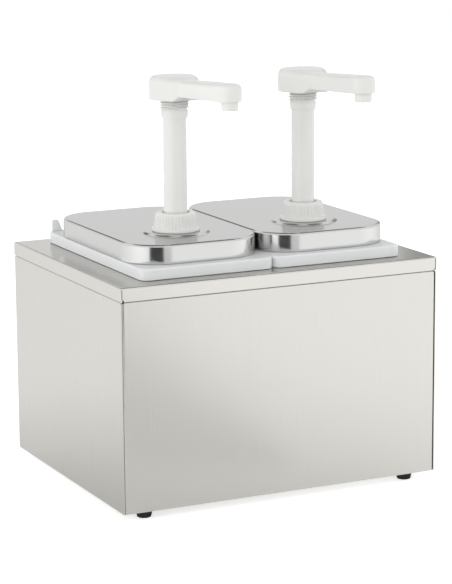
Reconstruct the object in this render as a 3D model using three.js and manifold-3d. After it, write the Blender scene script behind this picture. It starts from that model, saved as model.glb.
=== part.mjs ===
// Countertop sauce station: a sheet steel box, two lift-out tubs with pressed lids, and two plunger
// pumps with long spouts. Millimetres, +Z up, spouts towards -Y, resting on z = 0.
import * as THREE from 'three';
import { mergeVertices } from 'three/addons/utils/BufferGeometryUtils.js';
import Module from 'manifold-3d';

const wasm = await Module();
wasm.setup();

// Gaps and helpers shared by all pieces
const seatGap = 0.3; // between pieces that rest on or against each other
const runningGap = 0.35; // between pieces that slide or turn
const overrun = 1; // how far a cut runs past the face it cuts
const weldDistance = 0.0001;
const bodyArcSteps = 3; // a shape's quarter arc gets twice as many sides
const fineArcSteps = 1;
const edgeSteps = 2; // sides of a round edge
const pumpSides = 20;
const seatSides = 28;
const smallSides = 12;
const tinySides = 10;

// Sheet steel housing
const housingWidth = 327;
const housingDepth = 265;
const housingHeight = 213.5;
const sheet = 1;
const foldRadius = 2;
const skirtHeight = 16.3;
const cornerSlit = 0.7;
const reliefWidth = 2.2;
const reliefHeight = 1.6;
const panelSetback = 0.3; // of the body sheets' faces behind the cover's
const seamGap = 0.9; // between the cover's skirt and the body sheets' full faces
const joggleRise = 0.8; // height over which a body sheet steps in behind the skirt
const joggleLap = 4; // of the stepped strip over the full face below it
const returnFlange = 14;
const baseFlange = 12;

// Rubber feet and their screws
const footHeight = 6;
const footTopDiameter = 16;
const footBottomDiameter = 13;
const footEdgeRadius = 1;
const footInsetX = 26;
const footInsetY = 14;
const footRecessDiameter = 8.4;
const footRecessDepth = 4;
const screwDiameter = 4;
const screwHeadDiameter = 7.4;
const screwHeadHeight = 2.4;
const screwTip = 3.4;
const collarWall = 1.6;
const collarHeight = 2.6;

// Lids
const lidWidth = 133.2;
const lidDepth = 207;
const lidCorner = 37;
const lidHeight = 18.1;
const lidSheet = 0.8;
const lidEdge = 2.6;
const seatDiameter = 64;
const seatHeight = 1.6;
const seatSlope = 1;

// Tubs
const rimWidth = 134.4;
const rimDepth = 230.7;
const rimCorner = 9;
const rimHeight = 9.4;
const rimEdge = 1.2;
const rimGap = 0.4;
const tubWall = 2.2;
const tubClearance = 20.7; // between the base plate and the tub above it
const tubDraft = 3;
const tubBottomRadius = 9;
const shoulder = 4.3;
const upstandHeight = 7;
const lidPlay = 1;
const cutoutPlay = 1.5;
const earWidth = 11;
const earTopWidth = 6.5;
const earHeight = 11.9;
const earThickness = 3;
const earInset = 4;
const earSetback = 1;

// Pump: place, closure and neck
const pumpForward = 42.5; // from the middle of the housing towards the front
const closureHeight = 17.2;
const flangeDiameter = 45.2;
const flangeThickness = 2.7;
const closureBottomDiameter = 40.8;
const closureTopDiameter = 38.7;
const closureEdge = 2.8;
const closureTopWall = 2.4;
const ribCount = 40;
const ribDepth = 0.5;
const neckDiameter = 34;
const neckFlangeDiameter = 54;
const neckFlangeThickness = 2.6;
const gasketThickness = 1.2;

// Pump: stem and head
const stemDiameter = 22.1;
const stemWall = 4.4;
const stemReach = 88.7; // from the closure's top to the collar
const collarDiameter = 25.6;
const collarFootDiameter = 24.4;
const collarLength = 6.6;
const threadDiameter = 26.9;
const threadLength = 10.8;
const socketDepth = 9.8;
const padWidth = 48;
const padBack = 21.5; // from the stem's axis to the pad's rear end
const padCorner = 21;
const padHeight = 21.5;
const padWall = 2.2;
const padHollowDepth = 8.5;
const headEdge = 5;
const headEdgeShare = 0.8; // the most of a narrow section's half width that its round edge takes
const tipFlat = 0.3; // the spout's round end stops this short of its full reach
const spoutReach = 117.2;
const spoutWidth = 21.8;
const spoutRootTop = 19.3;
const spoutTipTop = 25;
const spoutRootBottom = 5.8;
const spoutTipBottom = 8.9;
const flareStart = padCorner - padBack; // where the pad's round end passes into the flare
const flareEnd = 35;
const flareSteps = 9;
const cornerSteps = 6;
const tipSteps = 5;
const stepStart = 18; // where the pad's top steps down to the spout
const stepEnd = 26;
const skirtCutStart = 22.5; // where the pad's skirt rises to the spout's underside
const skirtCutEnd = 34.5;
const channelWidth = 11;
const channelHeight = 7;
const channelRootLevel = 12.4;
const channelTipLevel = 17;
const nozzleDiameter = 15.4;
const nozzleBore = 9;
const nozzleLength = 7;
const nozzleSpigotDiameter = 13;
const nozzleSpigotLength = 5;
const nozzleEdge = 0.8;

// Pump: barrel and inner pieces
const barrelWall = 1.8;
const bellWall = 1.4;
const bellDepth = 22;
const bellTaper = 3;
const threadPlay = 0.4;
const barrelBore = 25;
const barrelFlange = 2;
const guideHeight = 5;
const pistonLength = 12;
const pistonLip = 2.4;
const pistonSeat = 17;
const lockTravel = 10; // the last of the stroke, made by screwing the head down
const springWire = 1.4;
const springDiameter = 22.6;
const springTurns = 8;
const springEndTurns = 1; // laid flat at each end
const coilSteps = 8;
const wireSides = 4;
const springSolidHeight = 20;
const cageHeight = 2.4;
const cageBar = 2.6;
const ballDiameter = 9;
const ballRings = 5;
const ballPlay = 1.5;
const ballLift = 3;
const seatBore = 7;
const seatWeb = 2;
const valveFloor = 4;
const dipTubeDiameter = 12;
const dipTubeWall = 1.3;
const dipSocketDepth = 12;
const dipSocketWall = 2;
const dipGap = 8;

// Levels, worked out from the sizes above, from the housing's base upwards
const rimBottomZ = housingHeight + seatGap;
const rimTopZ = rimBottomZ + rimHeight;
const lidBottomZ = rimTopZ + seatGap;
const lidTopZ = lidBottomZ + lidHeight;
const seatTopZ = lidTopZ + seatHeight;
const closureBottomZ = seatTopZ + seatGap;
const closureTopZ = closureBottomZ + closureHeight;
const collarZ = closureTopZ + stemReach;
const threadZ = collarZ + collarLength;
const headZ = threadZ + threadLength;
const barrelTopZ = closureTopZ - closureTopWall - seatGap;
const gasketTopZ = barrelTopZ - barrelFlange - seatGap;
const neckTopZ = gasketTopZ - gasketThickness - seatGap;
const neckFlangeTopZ = seatTopZ - lidSheet - seatGap;
const bellFloorZ = barrelTopZ - bellDepth;
const guideZ = bellFloorZ + seatGap;
const pistonTopZ = bellFloorZ - seatGap;
const pistonZ = pistonTopZ - pistonLength;
const pressTravel = threadZ - barrelTopZ - seatGap;
const cageTopZ = pistonZ - pressTravel - lockTravel - springSolidHeight;
const cageZ = cageTopZ - cageHeight;
const barrelFloorZ = cageZ - seatGap;
const seatRise = Math.sqrt(ballDiameter ** 2 - seatBore ** 2) / 2; // ball centre above its seat's edge
const chamberDepth = seatRise + ballDiameter / 2 + ballLift;
const inletSeatZ = barrelFloorZ - chamberDepth + seatGap;
const dipSocketTopZ = inletSeatZ - valveFloor;
const tubBottomZ = sheet + tubClearance;
const tubHeight = rimTopZ - tubBottomZ;
const tubFloorZ = tubBottomZ + tubWall;
const dipTubeZ = tubFloorZ + dipGap;

// Plan sizes that follow from others
const tubSpacing = rimWidth + rimGap;
const upstandWidth = lidWidth - (lidSheet + lidPlay) * 2;
const upstandDepth = lidDepth - (lidSheet + lidPlay) * 2;
const upstandCorner = lidCorner - lidSheet - lidPlay;
const bodyWidth = upstandWidth - shoulder * 2;
const bodyDepth = upstandDepth - shoulder * 2;
const bodyCorner = upstandCorner - shoulder;
const bellBore = threadDiameter + threadPlay * 2;
const neckBore = bellBore + (bellWall + runningGap) * 2;
const stemBore = stemDiameter - stemWall * 2;
const tipReach = spoutReach + spoutWidth / 2 - tipFlat;
const frontReach = pumpForward + tipReach;
const frameY = (frontReach - housingDepth / 2) / 2;

// Turns a closed geometry into a solid for joining and cutting.
function solidOf(geometry) {
  const bare = geometry.clone();
  bare.deleteAttribute('normal');
  bare.deleteAttribute('uv');
  const merged = mergeVertices(bare, weldDistance);
  const corners = merged.index.array;
  const kept = [];
  for (let k = 0; k < corners.length; k += 3) {
    const [a, b, c] = [corners[k], corners[k + 1], corners[k + 2]];
    if (a !== b && b !== c && c !== a) kept.push(a, b, c);
  }
  const vertProperties = new Float32Array(merged.attributes.position.array);
  return new wasm.Manifold(new wasm.Mesh({ numProp: 3, vertProperties, triVerts: new Uint32Array(kept) }));
}

function geometryOf(solid) {
  const mesh = solid.getMesh();
  const geometry = new THREE.BufferGeometry();
  geometry.setAttribute('position', new THREE.BufferAttribute(new Float32Array(mesh.vertProperties), 3));
  geometry.setIndex(new THREE.BufferAttribute(new Uint32Array(mesh.triVerts), 1));
  geometry.computeVertexNormals();
  return geometry;
}

function join(solids) {
  return solids.reduce((whole, next) => whole.add(next));
}

function cut(solid, tools) {
  return tools.reduce((rest, tool) => rest.subtract(tool), solid);
}

// Rectangle about (x, y) with round corners, as a shape.
function roundedRectangle(width, depth, radius, x = 0, y = 0) {
  const [right, back] = [width / 2 - radius, depth / 2 - radius];
  const shape = new THREE.Shape();
  shape.absarc(x + right, y - back, radius, -Math.PI / 2, 0);
  shape.absarc(x + right, y + back, radius, 0, Math.PI / 2);
  shape.absarc(x - right, y + back, radius, Math.PI / 2, Math.PI);
  shape.absarc(x - right, y - back, radius, Math.PI, Math.PI * 3 / 2);
  shape.closePath();
  return shape;
}

function prism(shape, bottom, top, arcSteps = bodyArcSteps) {
  const settings = { depth: top - bottom, bevelEnabled: false, curveSegments: arcSteps };
  return solidOf(new THREE.ExtrudeGeometry(shape, settings).translate(0, 0, bottom));
}

function block(minimum, maximum) {
  const size = maximum.map((value, k) => value - minimum[k]);
  const geometry = new THREE.BoxGeometry(...size);
  return solidOf(geometry.translate(...maximum.map((value, k) => value - size[k] / 2)));
}

// Solid of revolution about the Z axis, from a closed profile of [radius, z] points.
function revolve(profile, segments) {
  const points = profile.map(([radius, z]) => new THREE.Vector2(radius, z));
  points.push(points[0].clone());
  const geometry = new THREE.LatheGeometry(points, segments);
  return solidOf(geometry.rotateX(Math.PI / 2));
}

function disc(diameter, bottom, top, segments) {
  return revolve([[0, bottom], [diameter / 2, bottom], [diameter / 2, top], [0, top]], segments);
}

function tube(outer, inner, bottom, top, segments) {
  return revolve([[inner / 2, bottom], [outer / 2, bottom], [outer / 2, top], [inner / 2, top]], segments);
}

// Closed skin through rings with equal numbers of points, with a fan about the centre at each end.
function loft(rings) {
  const count = rings[0].length;
  const points = rings.flat();
  const faces = [];
  for (let level = 0; level + 1 < rings.length; level += 1) {
    for (let k = 0; k < count; k += 1) {
      const [a, b] = [level * count + k, level * count + (k + 1) % count];
      faces.push(a, b, b + count, a, b + count, a + count);
    }
  }
  for (const level of [0, rings.length - 1]) {
    const centre = new THREE.Vector3();
    rings[level].forEach((point) => centre.addScaledVector(point, 1 / count));
    points.push(centre);
    for (let k = 0; k < count; k += 1) {
      const edge = [level * count + k, level * count + (k + 1) % count];
      faces.push(points.length - 1, ...(level === 0 ? edge.reverse() : edge));
    }
  }
  const geometry = new THREE.BufferGeometry().setFromPoints(points);
  geometry.setIndex(faces);
  return solidOf(geometry);
}

// Ring of points on a rounded rectangle, drawn in by an inset, at height z.
function plateRing(width, depth, radius, inset, z, arcSteps = bodyArcSteps) {
  const outline = roundedRectangle(width - inset * 2, depth - inset * 2, radius - inset);
  const points = outline.getPoints(arcSteps);
  if (points[0].distanceTo(points[points.length - 1]) < weldDistance) points.pop();
  return points.map((point) => new THREE.Vector3(point.x, point.y, z));
}

// Insets and rises of a quarter round edge of the given radius, from its upright side inwards.
function roundEdge(radius, steps = edgeSteps) {
  return Array.from({ length: steps + 1 }, (_, k) => {
    const turn = (Math.PI / 2) * (k / steps);
    return [radius * (1 - Math.cos(turn)), radius * Math.sin(turn)];
  });
}

// Rounded block: straight sides and a round top edge.
function roundedBlock(width, depth, corner, bottom, top, edge, steps = edgeSteps) {
  const ring = (inset, z) => plateRing(width, depth, corner, inset, z);
  const upper = roundEdge(edge, steps).map(([inset, rise]) => ring(inset, top - edge + rise));
  return loft([ring(0, bottom), ...upper]);
}

// Housing: profile of the folded cover across one direction, as a shape in its own plane
function coverProfile(span, inset, top) {
  const half = span / 2 - inset;
  const radius = foldRadius - inset;
  const bottom = housingHeight - skirtHeight - inset;
  const shape = new THREE.Shape();
  shape.moveTo(-half, bottom);
  shape.lineTo(half, bottom);
  shape.absarc(half - radius, top - radius, radius, 0, Math.PI / 2);
  shape.absarc(-half + radius, top - radius, radius, Math.PI / 2, Math.PI);
  shape.closePath();
  return shape;
}

// Folded block: the profile swept both ways, so its corners meet in mitred folds.
function foldedBlock(inset) {
  const sweep = (span, length) => {
    const geometry = new THREE.ExtrudeGeometry(coverProfile(span, inset, housingHeight - inset), {
      depth: length,
      bevelEnabled: false,
      curveSegments: fineArcSteps,
    });
    return geometry.translate(0, 0, -length / 2).rotateX(Math.PI / 2);
  };
  const [width, depth] = [housingWidth - inset * 2, housingDepth - inset * 2];
  const across = solidOf(sweep(housingWidth, depth));
  const along = solidOf(sweep(housingDepth, width).rotateZ(Math.PI / 2));
  return across.intersect(along);
}

function tubCutout(sign) {
  const [width, depth] = [bodyWidth + cutoutPlay * 2, bodyDepth + cutoutPlay * 2];
  const shape = roundedRectangle(width, depth, bodyCorner + cutoutPlay, sign * tubSpacing / 2, 0);
  return prism(shape, housingHeight - sheet - overrun, housingHeight + overrun);
}

// Each corner's front or back skirt stops short of the side skirt, with a small relief below.
function cornerCuts() {
  const cuts = [];
  for (const x of [-1, 1]) {
    for (const y of [-1, 1]) {
      const edgeX = housingWidth / 2 - sheet;
      const edgeY = housingDepth / 2;
      const bottom = housingHeight - skirtHeight;
      const rangeY = [edgeY - sheet - overrun / 2, edgeY + overrun];
      const slit = [[edgeX - cornerSlit, edgeX], [bottom - overrun, housingHeight - foldRadius]];
      const relief = [[edgeX - reliefWidth, edgeX], [bottom - overrun, bottom + reliefHeight]];
      for (const [rangeX, rangeZ] of [slit, relief]) {
        const xs = rangeX.map((value) => value * x).sort((a, b) => a - b);
        const ys = rangeY.map((value) => value * y).sort((a, b) => a - b);
        cuts.push(block([xs[0], ys[0], rangeZ[0]], [xs[1], ys[1], rangeZ[1]]));
      }
    }
  }
  return cuts;
}

function makeTopCover() {
  return cut(foldedBlock(0), [foldedBlock(sheet), tubCutout(-1), tubCutout(1), ...cornerCuts()]);
}

const panelTopZ = housingHeight - sheet - seatGap;
const panelHalfWidth = housingWidth / 2 - panelSetback;
const panelHalfDepth = housingDepth / 2 - panelSetback;
const joggleDepth = sheet + seatGap - panelSetback;
const joggleZ = housingHeight - skirtHeight - seamGap;
const foldTopZ = joggleZ - seatGap;

// Upper strip of a body sheet, stepped in behind the cover's skirt, with its outer face towards +X
function joggledStrip(reach, length) {
  const stepped = reach - joggleDepth;
  const shape = new THREE.Shape();
  shape.moveTo(reach - sheet, joggleZ - joggleLap);
  shape.lineTo(reach, joggleZ - joggleLap);
  shape.lineTo(reach, joggleZ);
  shape.lineTo(stepped, joggleZ + joggleRise);
  shape.lineTo(stepped, panelTopZ);
  shape.lineTo(stepped - sheet, panelTopZ);
  shape.lineTo(stepped - sheet, joggleZ + joggleRise);
  shape.lineTo(reach - sheet, joggleZ);
  shape.closePath();
  const geometry = new THREE.ExtrudeGeometry(shape, { depth: length, bevelEnabled: false });
  return geometry.translate(0, 0, -length / 2).rotateX(Math.PI / 2);
}

function makeSidePanel(sign) {
  const xs = [sign * (panelHalfWidth - sheet), sign * panelHalfWidth].sort((a, b) => a - b);
  const lower = block([xs[0], -panelHalfDepth, 0], [xs[1], panelHalfDepth, foldTopZ]);
  const strip = joggledStrip(panelHalfWidth, (panelHalfDepth - joggleDepth) * 2);
  return join([lower, solidOf(strip.rotateZ(sign > 0 ? 0 : Math.PI))]);
}

// Front or back sheet, with its ends folded back along the side sheets' inner faces.
function makeCrossPanel(sign) {
  const half = panelHalfWidth - sheet - seatGap;
  const [outer, inner] = [foldRadius, foldRadius - sheet];
  const shape = new THREE.Shape();
  shape.moveTo(half, returnFlange);
  shape.absarc(half - outer, outer, outer, 0, -Math.PI / 2, true);
  shape.absarc(-half + outer, outer, outer, -Math.PI / 2, -Math.PI, true);
  shape.lineTo(-half, returnFlange);
  shape.lineTo(-half + sheet, returnFlange);
  shape.absarc(-half + outer, outer, inner, Math.PI, Math.PI * 3 / 2);
  shape.absarc(half - outer, outer, inner, -Math.PI / 2, 0);
  shape.lineTo(half - sheet, returnFlange);
  shape.closePath();
  const settings = { depth: foldTopZ, bevelEnabled: false, curveSegments: fineArcSteps };
  const folded = new THREE.ExtrudeGeometry(shape, settings).translate(0, -panelHalfDepth, 0);
  const strip = joggledStrip(panelHalfDepth, (half - outer) * 2).rotateZ(-Math.PI / 2);
  return join([folded, strip].map((geometry) => solidOf(geometry.rotateZ(sign > 0 ? Math.PI : 0))));
}

function footPlaces() {
  const [x, y] = [housingWidth / 2 - footInsetX, housingDepth / 2 - footInsetY];
  return [[-x, -y], [x, -y], [-x, y], [x, y]];
}

function makeBasePlate() {
  const inset = sheet + seatGap * 2 + sheet;
  const [width, depth] = [(panelHalfWidth - inset) * 2, (panelHalfDepth - inset) * 2];
  const outer = prism(roundedRectangle(width, depth, foldRadius), 0, baseFlange, fineArcSteps);
  const hollowShape = roundedRectangle(width - sheet * 2, depth - sheet * 2, foldRadius - sheet);
  const tray = cut(outer, [prism(hollowShape, sheet, baseFlange + overrun, fineArcSteps)]);
  const bore = screwDiameter + runningGap * 2;
  const collars = footPlaces().map(([x, y]) => {
    return disc(bore + collarWall * 2, sheet / 2, sheet + collarHeight, tinySides).translate([x, y, 0]);
  });
  const holes = footPlaces().map(([x, y]) => {
    return disc(bore, -overrun, sheet + collarHeight + overrun, tinySides).translate([x, y, 0]);
  });
  return cut(join([tray, ...collars]), holes);
}

function makeFoot() {
  const [top, bottom, edge] = [footTopDiameter / 2, footBottomDiameter / 2, footEdgeRadius];
  const [bore, recess] = [screwDiameter / 2 + runningGap, footRecessDiameter / 2];
  return revolve([
    [recess, -footHeight], [bottom - edge, -footHeight], [bottom, edge - footHeight],
    [top, -seatGap], [bore, -seatGap], [bore, footRecessDepth - footHeight],
    [recess, footRecessDepth - footHeight],
  ], smallSides);
}

function makeFootScrew() {
  const [head, shank] = [screwHeadDiameter / 2, screwDiameter / 2];
  const seat = footRecessDepth - footHeight - seatGap;
  const crown = seat - screwHeadHeight;
  return revolve([
    [0, crown], [head - shank / 2, crown], [head, seat - screwHeadHeight / 2],
    [head, seat], [shank, seat], [shank, sheet + screwTip], [0, sheet + screwTip],
  ], tinySides);
}

// Tub: rim with a turned-down skirt, an upstand that locates the lid, and a body stepped in below it
function bodyRings(inset, bottom, top, bottomRadius) {
  const draft = (z) => tubDraft * (rimTopZ - z) / tubHeight;
  const ring = (extra, z) => plateRing(bodyWidth, bodyDepth, bodyCorner, inset + draft(z) + extra, z);
  const lower = roundEdge(bottomRadius).map(([extra, rise]) => ring(extra, bottom + bottomRadius - rise));
  return [...lower.reverse(), ring(0, top)];
}

function earShape(sign) {
  const outer = sign * (rimWidth / 2 - earInset);
  const shape = new THREE.Shape();
  shape.moveTo(outer, 0);
  shape.lineTo(outer, earHeight);
  shape.lineTo(outer - sign * earTopWidth, earHeight);
  shape.lineTo(outer - sign * earWidth, 0);
  shape.closePath();
  return shape;
}

function makeEar(sign) {
  const depth = earThickness;
  const geometry = new THREE.ExtrudeGeometry(earShape(sign), { depth, bevelEnabled: false });
  geometry.rotateX(Math.PI / 2);
  return solidOf(geometry.translate(0, rimDepth / 2 - earSetback, rimTopZ - rimEdge / 2));
}

function makeTub() {
  const rim = roundedBlock(rimWidth, rimDepth, rimCorner, rimBottomZ, rimTopZ, rimEdge, fineArcSteps);
  const rimHollow = roundedRectangle(rimWidth - tubWall * 2, rimDepth - tubWall * 2, rimCorner - tubWall);
  const ledgeZ = rimTopZ - tubWall;
  const body = loft(bodyRings(0, tubBottomZ, rimTopZ - tubWall / 2, tubBottomRadius));
  const collar = roundedRectangle(upstandWidth, upstandDepth, upstandCorner);
  const upstand = prism(collar, ledgeZ + tubWall / 2, rimTopZ + upstandHeight);
  const inner = loft(bodyRings(tubWall, tubFloorZ, rimTopZ + overrun / 2, tubBottomRadius - tubWall));
  const [mouthWidth, mouthDepth] = [upstandWidth - tubWall * 2, upstandDepth - tubWall * 2];
  const mouth = roundedRectangle(mouthWidth, mouthDepth, upstandCorner - tubWall);
  const skirt = cut(rim, [prism(rimHollow, rimBottomZ - overrun, ledgeZ, fineArcSteps)]);
  const shell = join([skirt, body, upstand, makeEar(-1), makeEar(1)]);
  return cut(shell, [inner, prism(mouth, rimTopZ, rimTopZ + upstandHeight + overrun)]);
}

// Lid: deep drawn shell with a raised round seat for the pump
function makeLid() {
  const seat = (inset, bottom, top) => revolve([
    [0, bottom], [seatDiameter / 2 - inset, bottom], [seatDiameter / 2 - inset - seatSlope, top], [0, top],
  ], seatSides).translate([0, -pumpForward, 0]);
  const outer = roundedBlock(lidWidth, lidDepth, lidCorner, lidBottomZ, lidTopZ, lidEdge);
  const [width, depth, corner] = [lidWidth - lidSheet * 2, lidDepth - lidSheet * 2, lidCorner - lidSheet];
  const ceilingZ = lidTopZ - lidSheet;
  const inner = roundedBlock(width, depth, corner, lidBottomZ - overrun, ceilingZ, lidEdge - lidSheet);
  const hole = disc(neckDiameter + runningGap * 2, ceilingZ - overrun, seatTopZ + overrun, pumpSides);
  return cut(join([outer, seat(0, lidTopZ - lidSheet / 2, seatTopZ)]), [
    inner,
    seat(lidSheet, ceilingZ - overrun / 2, seatTopZ - lidSheet),
    hole.translate([0, -pumpForward, 0]),
  ]);
}

// Closure: ribbed, tapered screw cap with a flange at its foot and an opening for the lock thread
function ribbedRing(radius, depth, z) {
  return Array.from({ length: ribCount * 2 }, (_, k) => {
    const turn = Math.PI * (k / ribCount);
    const reach = k % 2 === 0 ? radius : radius - depth;
    return new THREE.Vector3(reach * Math.cos(turn), reach * Math.sin(turn), z);
  });
}

function makeClosure() {
  const [lower, upper] = [closureBottomDiameter / 2, closureTopDiameter / 2];
  const edge = roundEdge(closureEdge, fineArcSteps).slice(1);
  const cap = loft([
    ribbedRing(lower, ribDepth, closureBottomZ),
    ribbedRing(upper, ribDepth, closureTopZ - closureEdge),
    ...edge.map(([inset, rise]) => ribbedRing(upper - inset, 0, closureTopZ - closureEdge + rise)),
  ]);
  const flange = disc(flangeDiameter, closureBottomZ, closureBottomZ + flangeThickness, ribCount);
  const ceilingZ = closureTopZ - closureTopWall;
  const bore = disc(neckDiameter + runningGap * 2, closureBottomZ - overrun, ceilingZ, pumpSides);
  const opening = disc(bellBore + threadPlay, ceilingZ - overrun, closureTopZ + overrun, pumpSides);
  return cut(join([cap, flange]), [bore, opening]);
}

function makeNeck() {
  const [outer, inner, flange] = [neckDiameter / 2, neckBore / 2, neckFlangeDiameter / 2];
  const bottom = neckFlangeTopZ - neckFlangeThickness;
  return revolve([
    [inner, bottom], [flange, bottom], [flange, neckFlangeTopZ], [outer, neckFlangeTopZ],
    [outer, neckTopZ], [inner, neckTopZ],
  ], pumpSides);
}

function makeGasket() {
  return tube(neckDiameter, neckBore, neckTopZ + seatGap, gasketTopZ, pumpSides);
}

// Barrel: bell for the lock thread, bore for the piston, ball chamber, seat and dip tube socket
function makeBarrel() {
  const [flange, bellOut, bellIn] = [neckDiameter / 2, bellBore / 2 + bellWall, bellBore / 2];
  const [boreOut, boreIn] = [barrelBore / 2 + barrelWall, barrelBore / 2];
  const chamberIn = ballDiameter / 2 + ballPlay;
  const chamberOut = chamberIn + dipSocketWall;
  const socketIn = dipTubeDiameter / 2 + seatGap;
  const socketOut = Math.max(socketIn + dipSocketWall, chamberOut);
  const socketBottom = dipSocketTopZ - dipSocketDepth;
  return revolve([
    [socketIn, socketBottom], [socketOut, socketBottom], [socketOut, barrelFloorZ - barrelWall * 2],
    [boreOut, barrelFloorZ], [boreOut, bellFloorZ - bellTaper], [bellOut, bellFloorZ],
    [bellOut, barrelTopZ - barrelFlange], [flange, barrelTopZ - barrelFlange], [flange, barrelTopZ],
    [bellIn, barrelTopZ], [bellIn, bellFloorZ],
    [boreIn, bellFloorZ], [boreIn, barrelFloorZ], [chamberIn, barrelFloorZ], [chamberIn, inletSeatZ],
    [seatBore / 2, inletSeatZ], [seatBore / 2, dipSocketTopZ], [socketIn, dipSocketTopZ],
  ], pumpSides);
}

function makeGuide() {
  const stop = bellBore - seatGap * 2;
  return tube(stop, stemDiameter + runningGap * 2, guideZ, guideZ + guideHeight, pumpSides);
}

// Stem: hollow rod with the piston seat below, collar and lock thread above, and the outlet valve's seat
function makeStem() {
  const [rod, seat, bore] = [stemDiameter / 2, pistonSeat / 2, stemBore / 2];
  const [collar, thread, chamber] = [collarDiameter / 2, threadDiameter / 2, ballDiameter / 2 + ballPlay];
  const [shoulderZ, topZ] = [pistonTopZ + runningGap, headZ + socketDepth - seatGap];
  const valveZ = topZ - chamberDepth + seatGap;
  const edge = thread - collar;
  return revolve([
    [bore, pistonZ], [seat, pistonZ], [seat, shoulderZ], [rod, shoulderZ], [rod, collarZ],
    [collarFootDiameter / 2, collarZ], [collar, threadZ], [thread, threadZ + edge],
    [thread, headZ - seatGap], [rod, headZ - seatGap], [rod, topZ], [chamber, topZ], [chamber, valveZ],
    [seatBore / 2, valveZ], [seatBore / 2, valveZ - seatWeb], [bore, valveZ - seatWeb * 2],
  ], pumpSides);
}

// Piston: sleeve on the stem's lower end, with a sealing lip at each end
function makePiston() {
  const [seat, lip] = [pistonSeat / 2 + seatGap, barrelBore / 2 - runningGap];
  const waist = lip - pistonLip / 2;
  return revolve([
    [seat, pistonZ], [lip, pistonZ], [waist, pistonZ + pistonLip], [waist, pistonTopZ - pistonLip],
    [lip, pistonTopZ], [seat, pistonTopZ],
  ], pumpSides);
}

// Return spring: one wire coiled from the cage up to the piston, with its end turns laid flat
function makeSpring() {
  const [bottom, top] = [cageTopZ + seatGap + springWire / 2, pistonZ - seatGap - springWire / 2];
  const radius = (springDiameter - springWire) / 2;
  const endRise = (springWire + seatGap) * springEndTurns;
  const openTurns = springTurns - springEndTurns * 2;
  const height = (turn) => {
    const rest = springTurns - turn;
    if (turn < springEndTurns) return bottom + endRise * (turn / springEndTurns);
    if (rest < springEndTurns) return top - endRise * (rest / springEndTurns);
    return bottom + endRise + (top - bottom - endRise * 2) * (turn - springEndTurns) / openTurns;
  };
  const rings = Array.from({ length: springTurns * coilSteps + 1 }, (_, k) => {
    const turn = k / coilSteps;
    const angle = turn * Math.PI * 2;
    return Array.from({ length: wireSides }, (__, side) => {
      const around = (side / wireSides) * Math.PI * 2;
      const reach = radius + Math.cos(around) * springWire / 2;
      const z = height(turn) + Math.sin(around) * springWire / 2;
      return new THREE.Vector3(reach * Math.cos(angle), reach * Math.sin(angle), z);
    }).reverse();
  });
  return loft(rings);
}

// Cage: ring on the barrel's floor with a cross bar over the inlet ball
function makeCage() {
  const outer = barrelBore - runningGap * 2;
  const ring = tube(outer, ballDiameter + ballPlay * 2, cageZ, cageTopZ, smallSides);
  const bars = [0, Math.PI / 2].map((turn) => {
    const geometry = new THREE.BoxGeometry(outer - springWire * 2, cageBar, cageHeight);
    return solidOf(geometry.rotateZ(turn).translate(0, 0, cageZ + cageHeight / 2));
  });
  return join([ring, ...bars]);
}

function makeBall() {
  const geometry = new THREE.SphereGeometry(ballDiameter / 2, tinySides, ballRings);
  return solidOf(geometry.rotateX(Math.PI / 2));
}

function makeDipTube() {
  const top = dipSocketTopZ - seatGap;
  const pipe = tube(dipTubeDiameter, dipTubeDiameter - dipTubeWall * 2, dipTubeZ, top, smallSides);
  const notch = new THREE.BoxGeometry(dipTubeDiameter * 2, dipTubeDiameter / 2, dipTubeDiameter / 2);
  notch.rotateX(Math.PI / 4);
  return cut(pipe, [solidOf(notch.translate(0, 0, dipTubeZ))]);
}

// Head: a push pad that flows into a rising spout. Heights are from the pad's underside, and reach is
// the distance in front of the stem's axis.
const smooth = (from, to, value) => THREE.MathUtils.smoothstep(value, from, to);

function headHalfWidth(reach) {
  const [pad, arm] = [padWidth / 2, spoutWidth / 2];
  if (reach < flareStart) {
    const over = flareStart - reach;
    return pad - padCorner + Math.sqrt(Math.max(padCorner ** 2 - over ** 2, 0));
  }
  if (reach > spoutReach) {
    return Math.sqrt(Math.max(arm ** 2 - (reach - spoutReach) ** 2, 0));
  }
  return THREE.MathUtils.lerp(pad, arm, smooth(flareStart, flareEnd, reach));
}

function headTop(reach) {
  const share = (reach - stepStart) / (spoutReach - stepStart);
  const arm = THREE.MathUtils.lerp(spoutRootTop, spoutTipTop, share);
  return THREE.MathUtils.lerp(padHeight, arm, smooth(stepStart, stepEnd, reach));
}

function headBottom(reach) {
  const share = (reach - skirtCutEnd) / (spoutReach - skirtCutEnd);
  const arm = THREE.MathUtils.lerp(spoutRootBottom, spoutTipBottom, share);
  return THREE.MathUtils.lerp(0, arm, smooth(skirtCutStart, skirtCutEnd, reach));
}

// Reaches at which the head is cut across: dense at the round ends, the flare and the steps.
function headStations() {
  const [backEnd, tipEnd] = [-padBack, spoutReach + spoutWidth / 2];
  const back = roundEdge(padCorner, cornerSteps).map(([inset]) => backEnd + inset);
  const flare = Array.from({ length: flareSteps }, (_, k) => {
    return THREE.MathUtils.lerp(flareStart, flareEnd, (k + 1) / flareSteps);
  });
  const tip = roundEdge(spoutWidth / 2, tipSteps).slice(1).map(([inset]) => tipEnd - inset).reverse();
  return [...back, ...flare, ...tip, tipReach];
}

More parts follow.
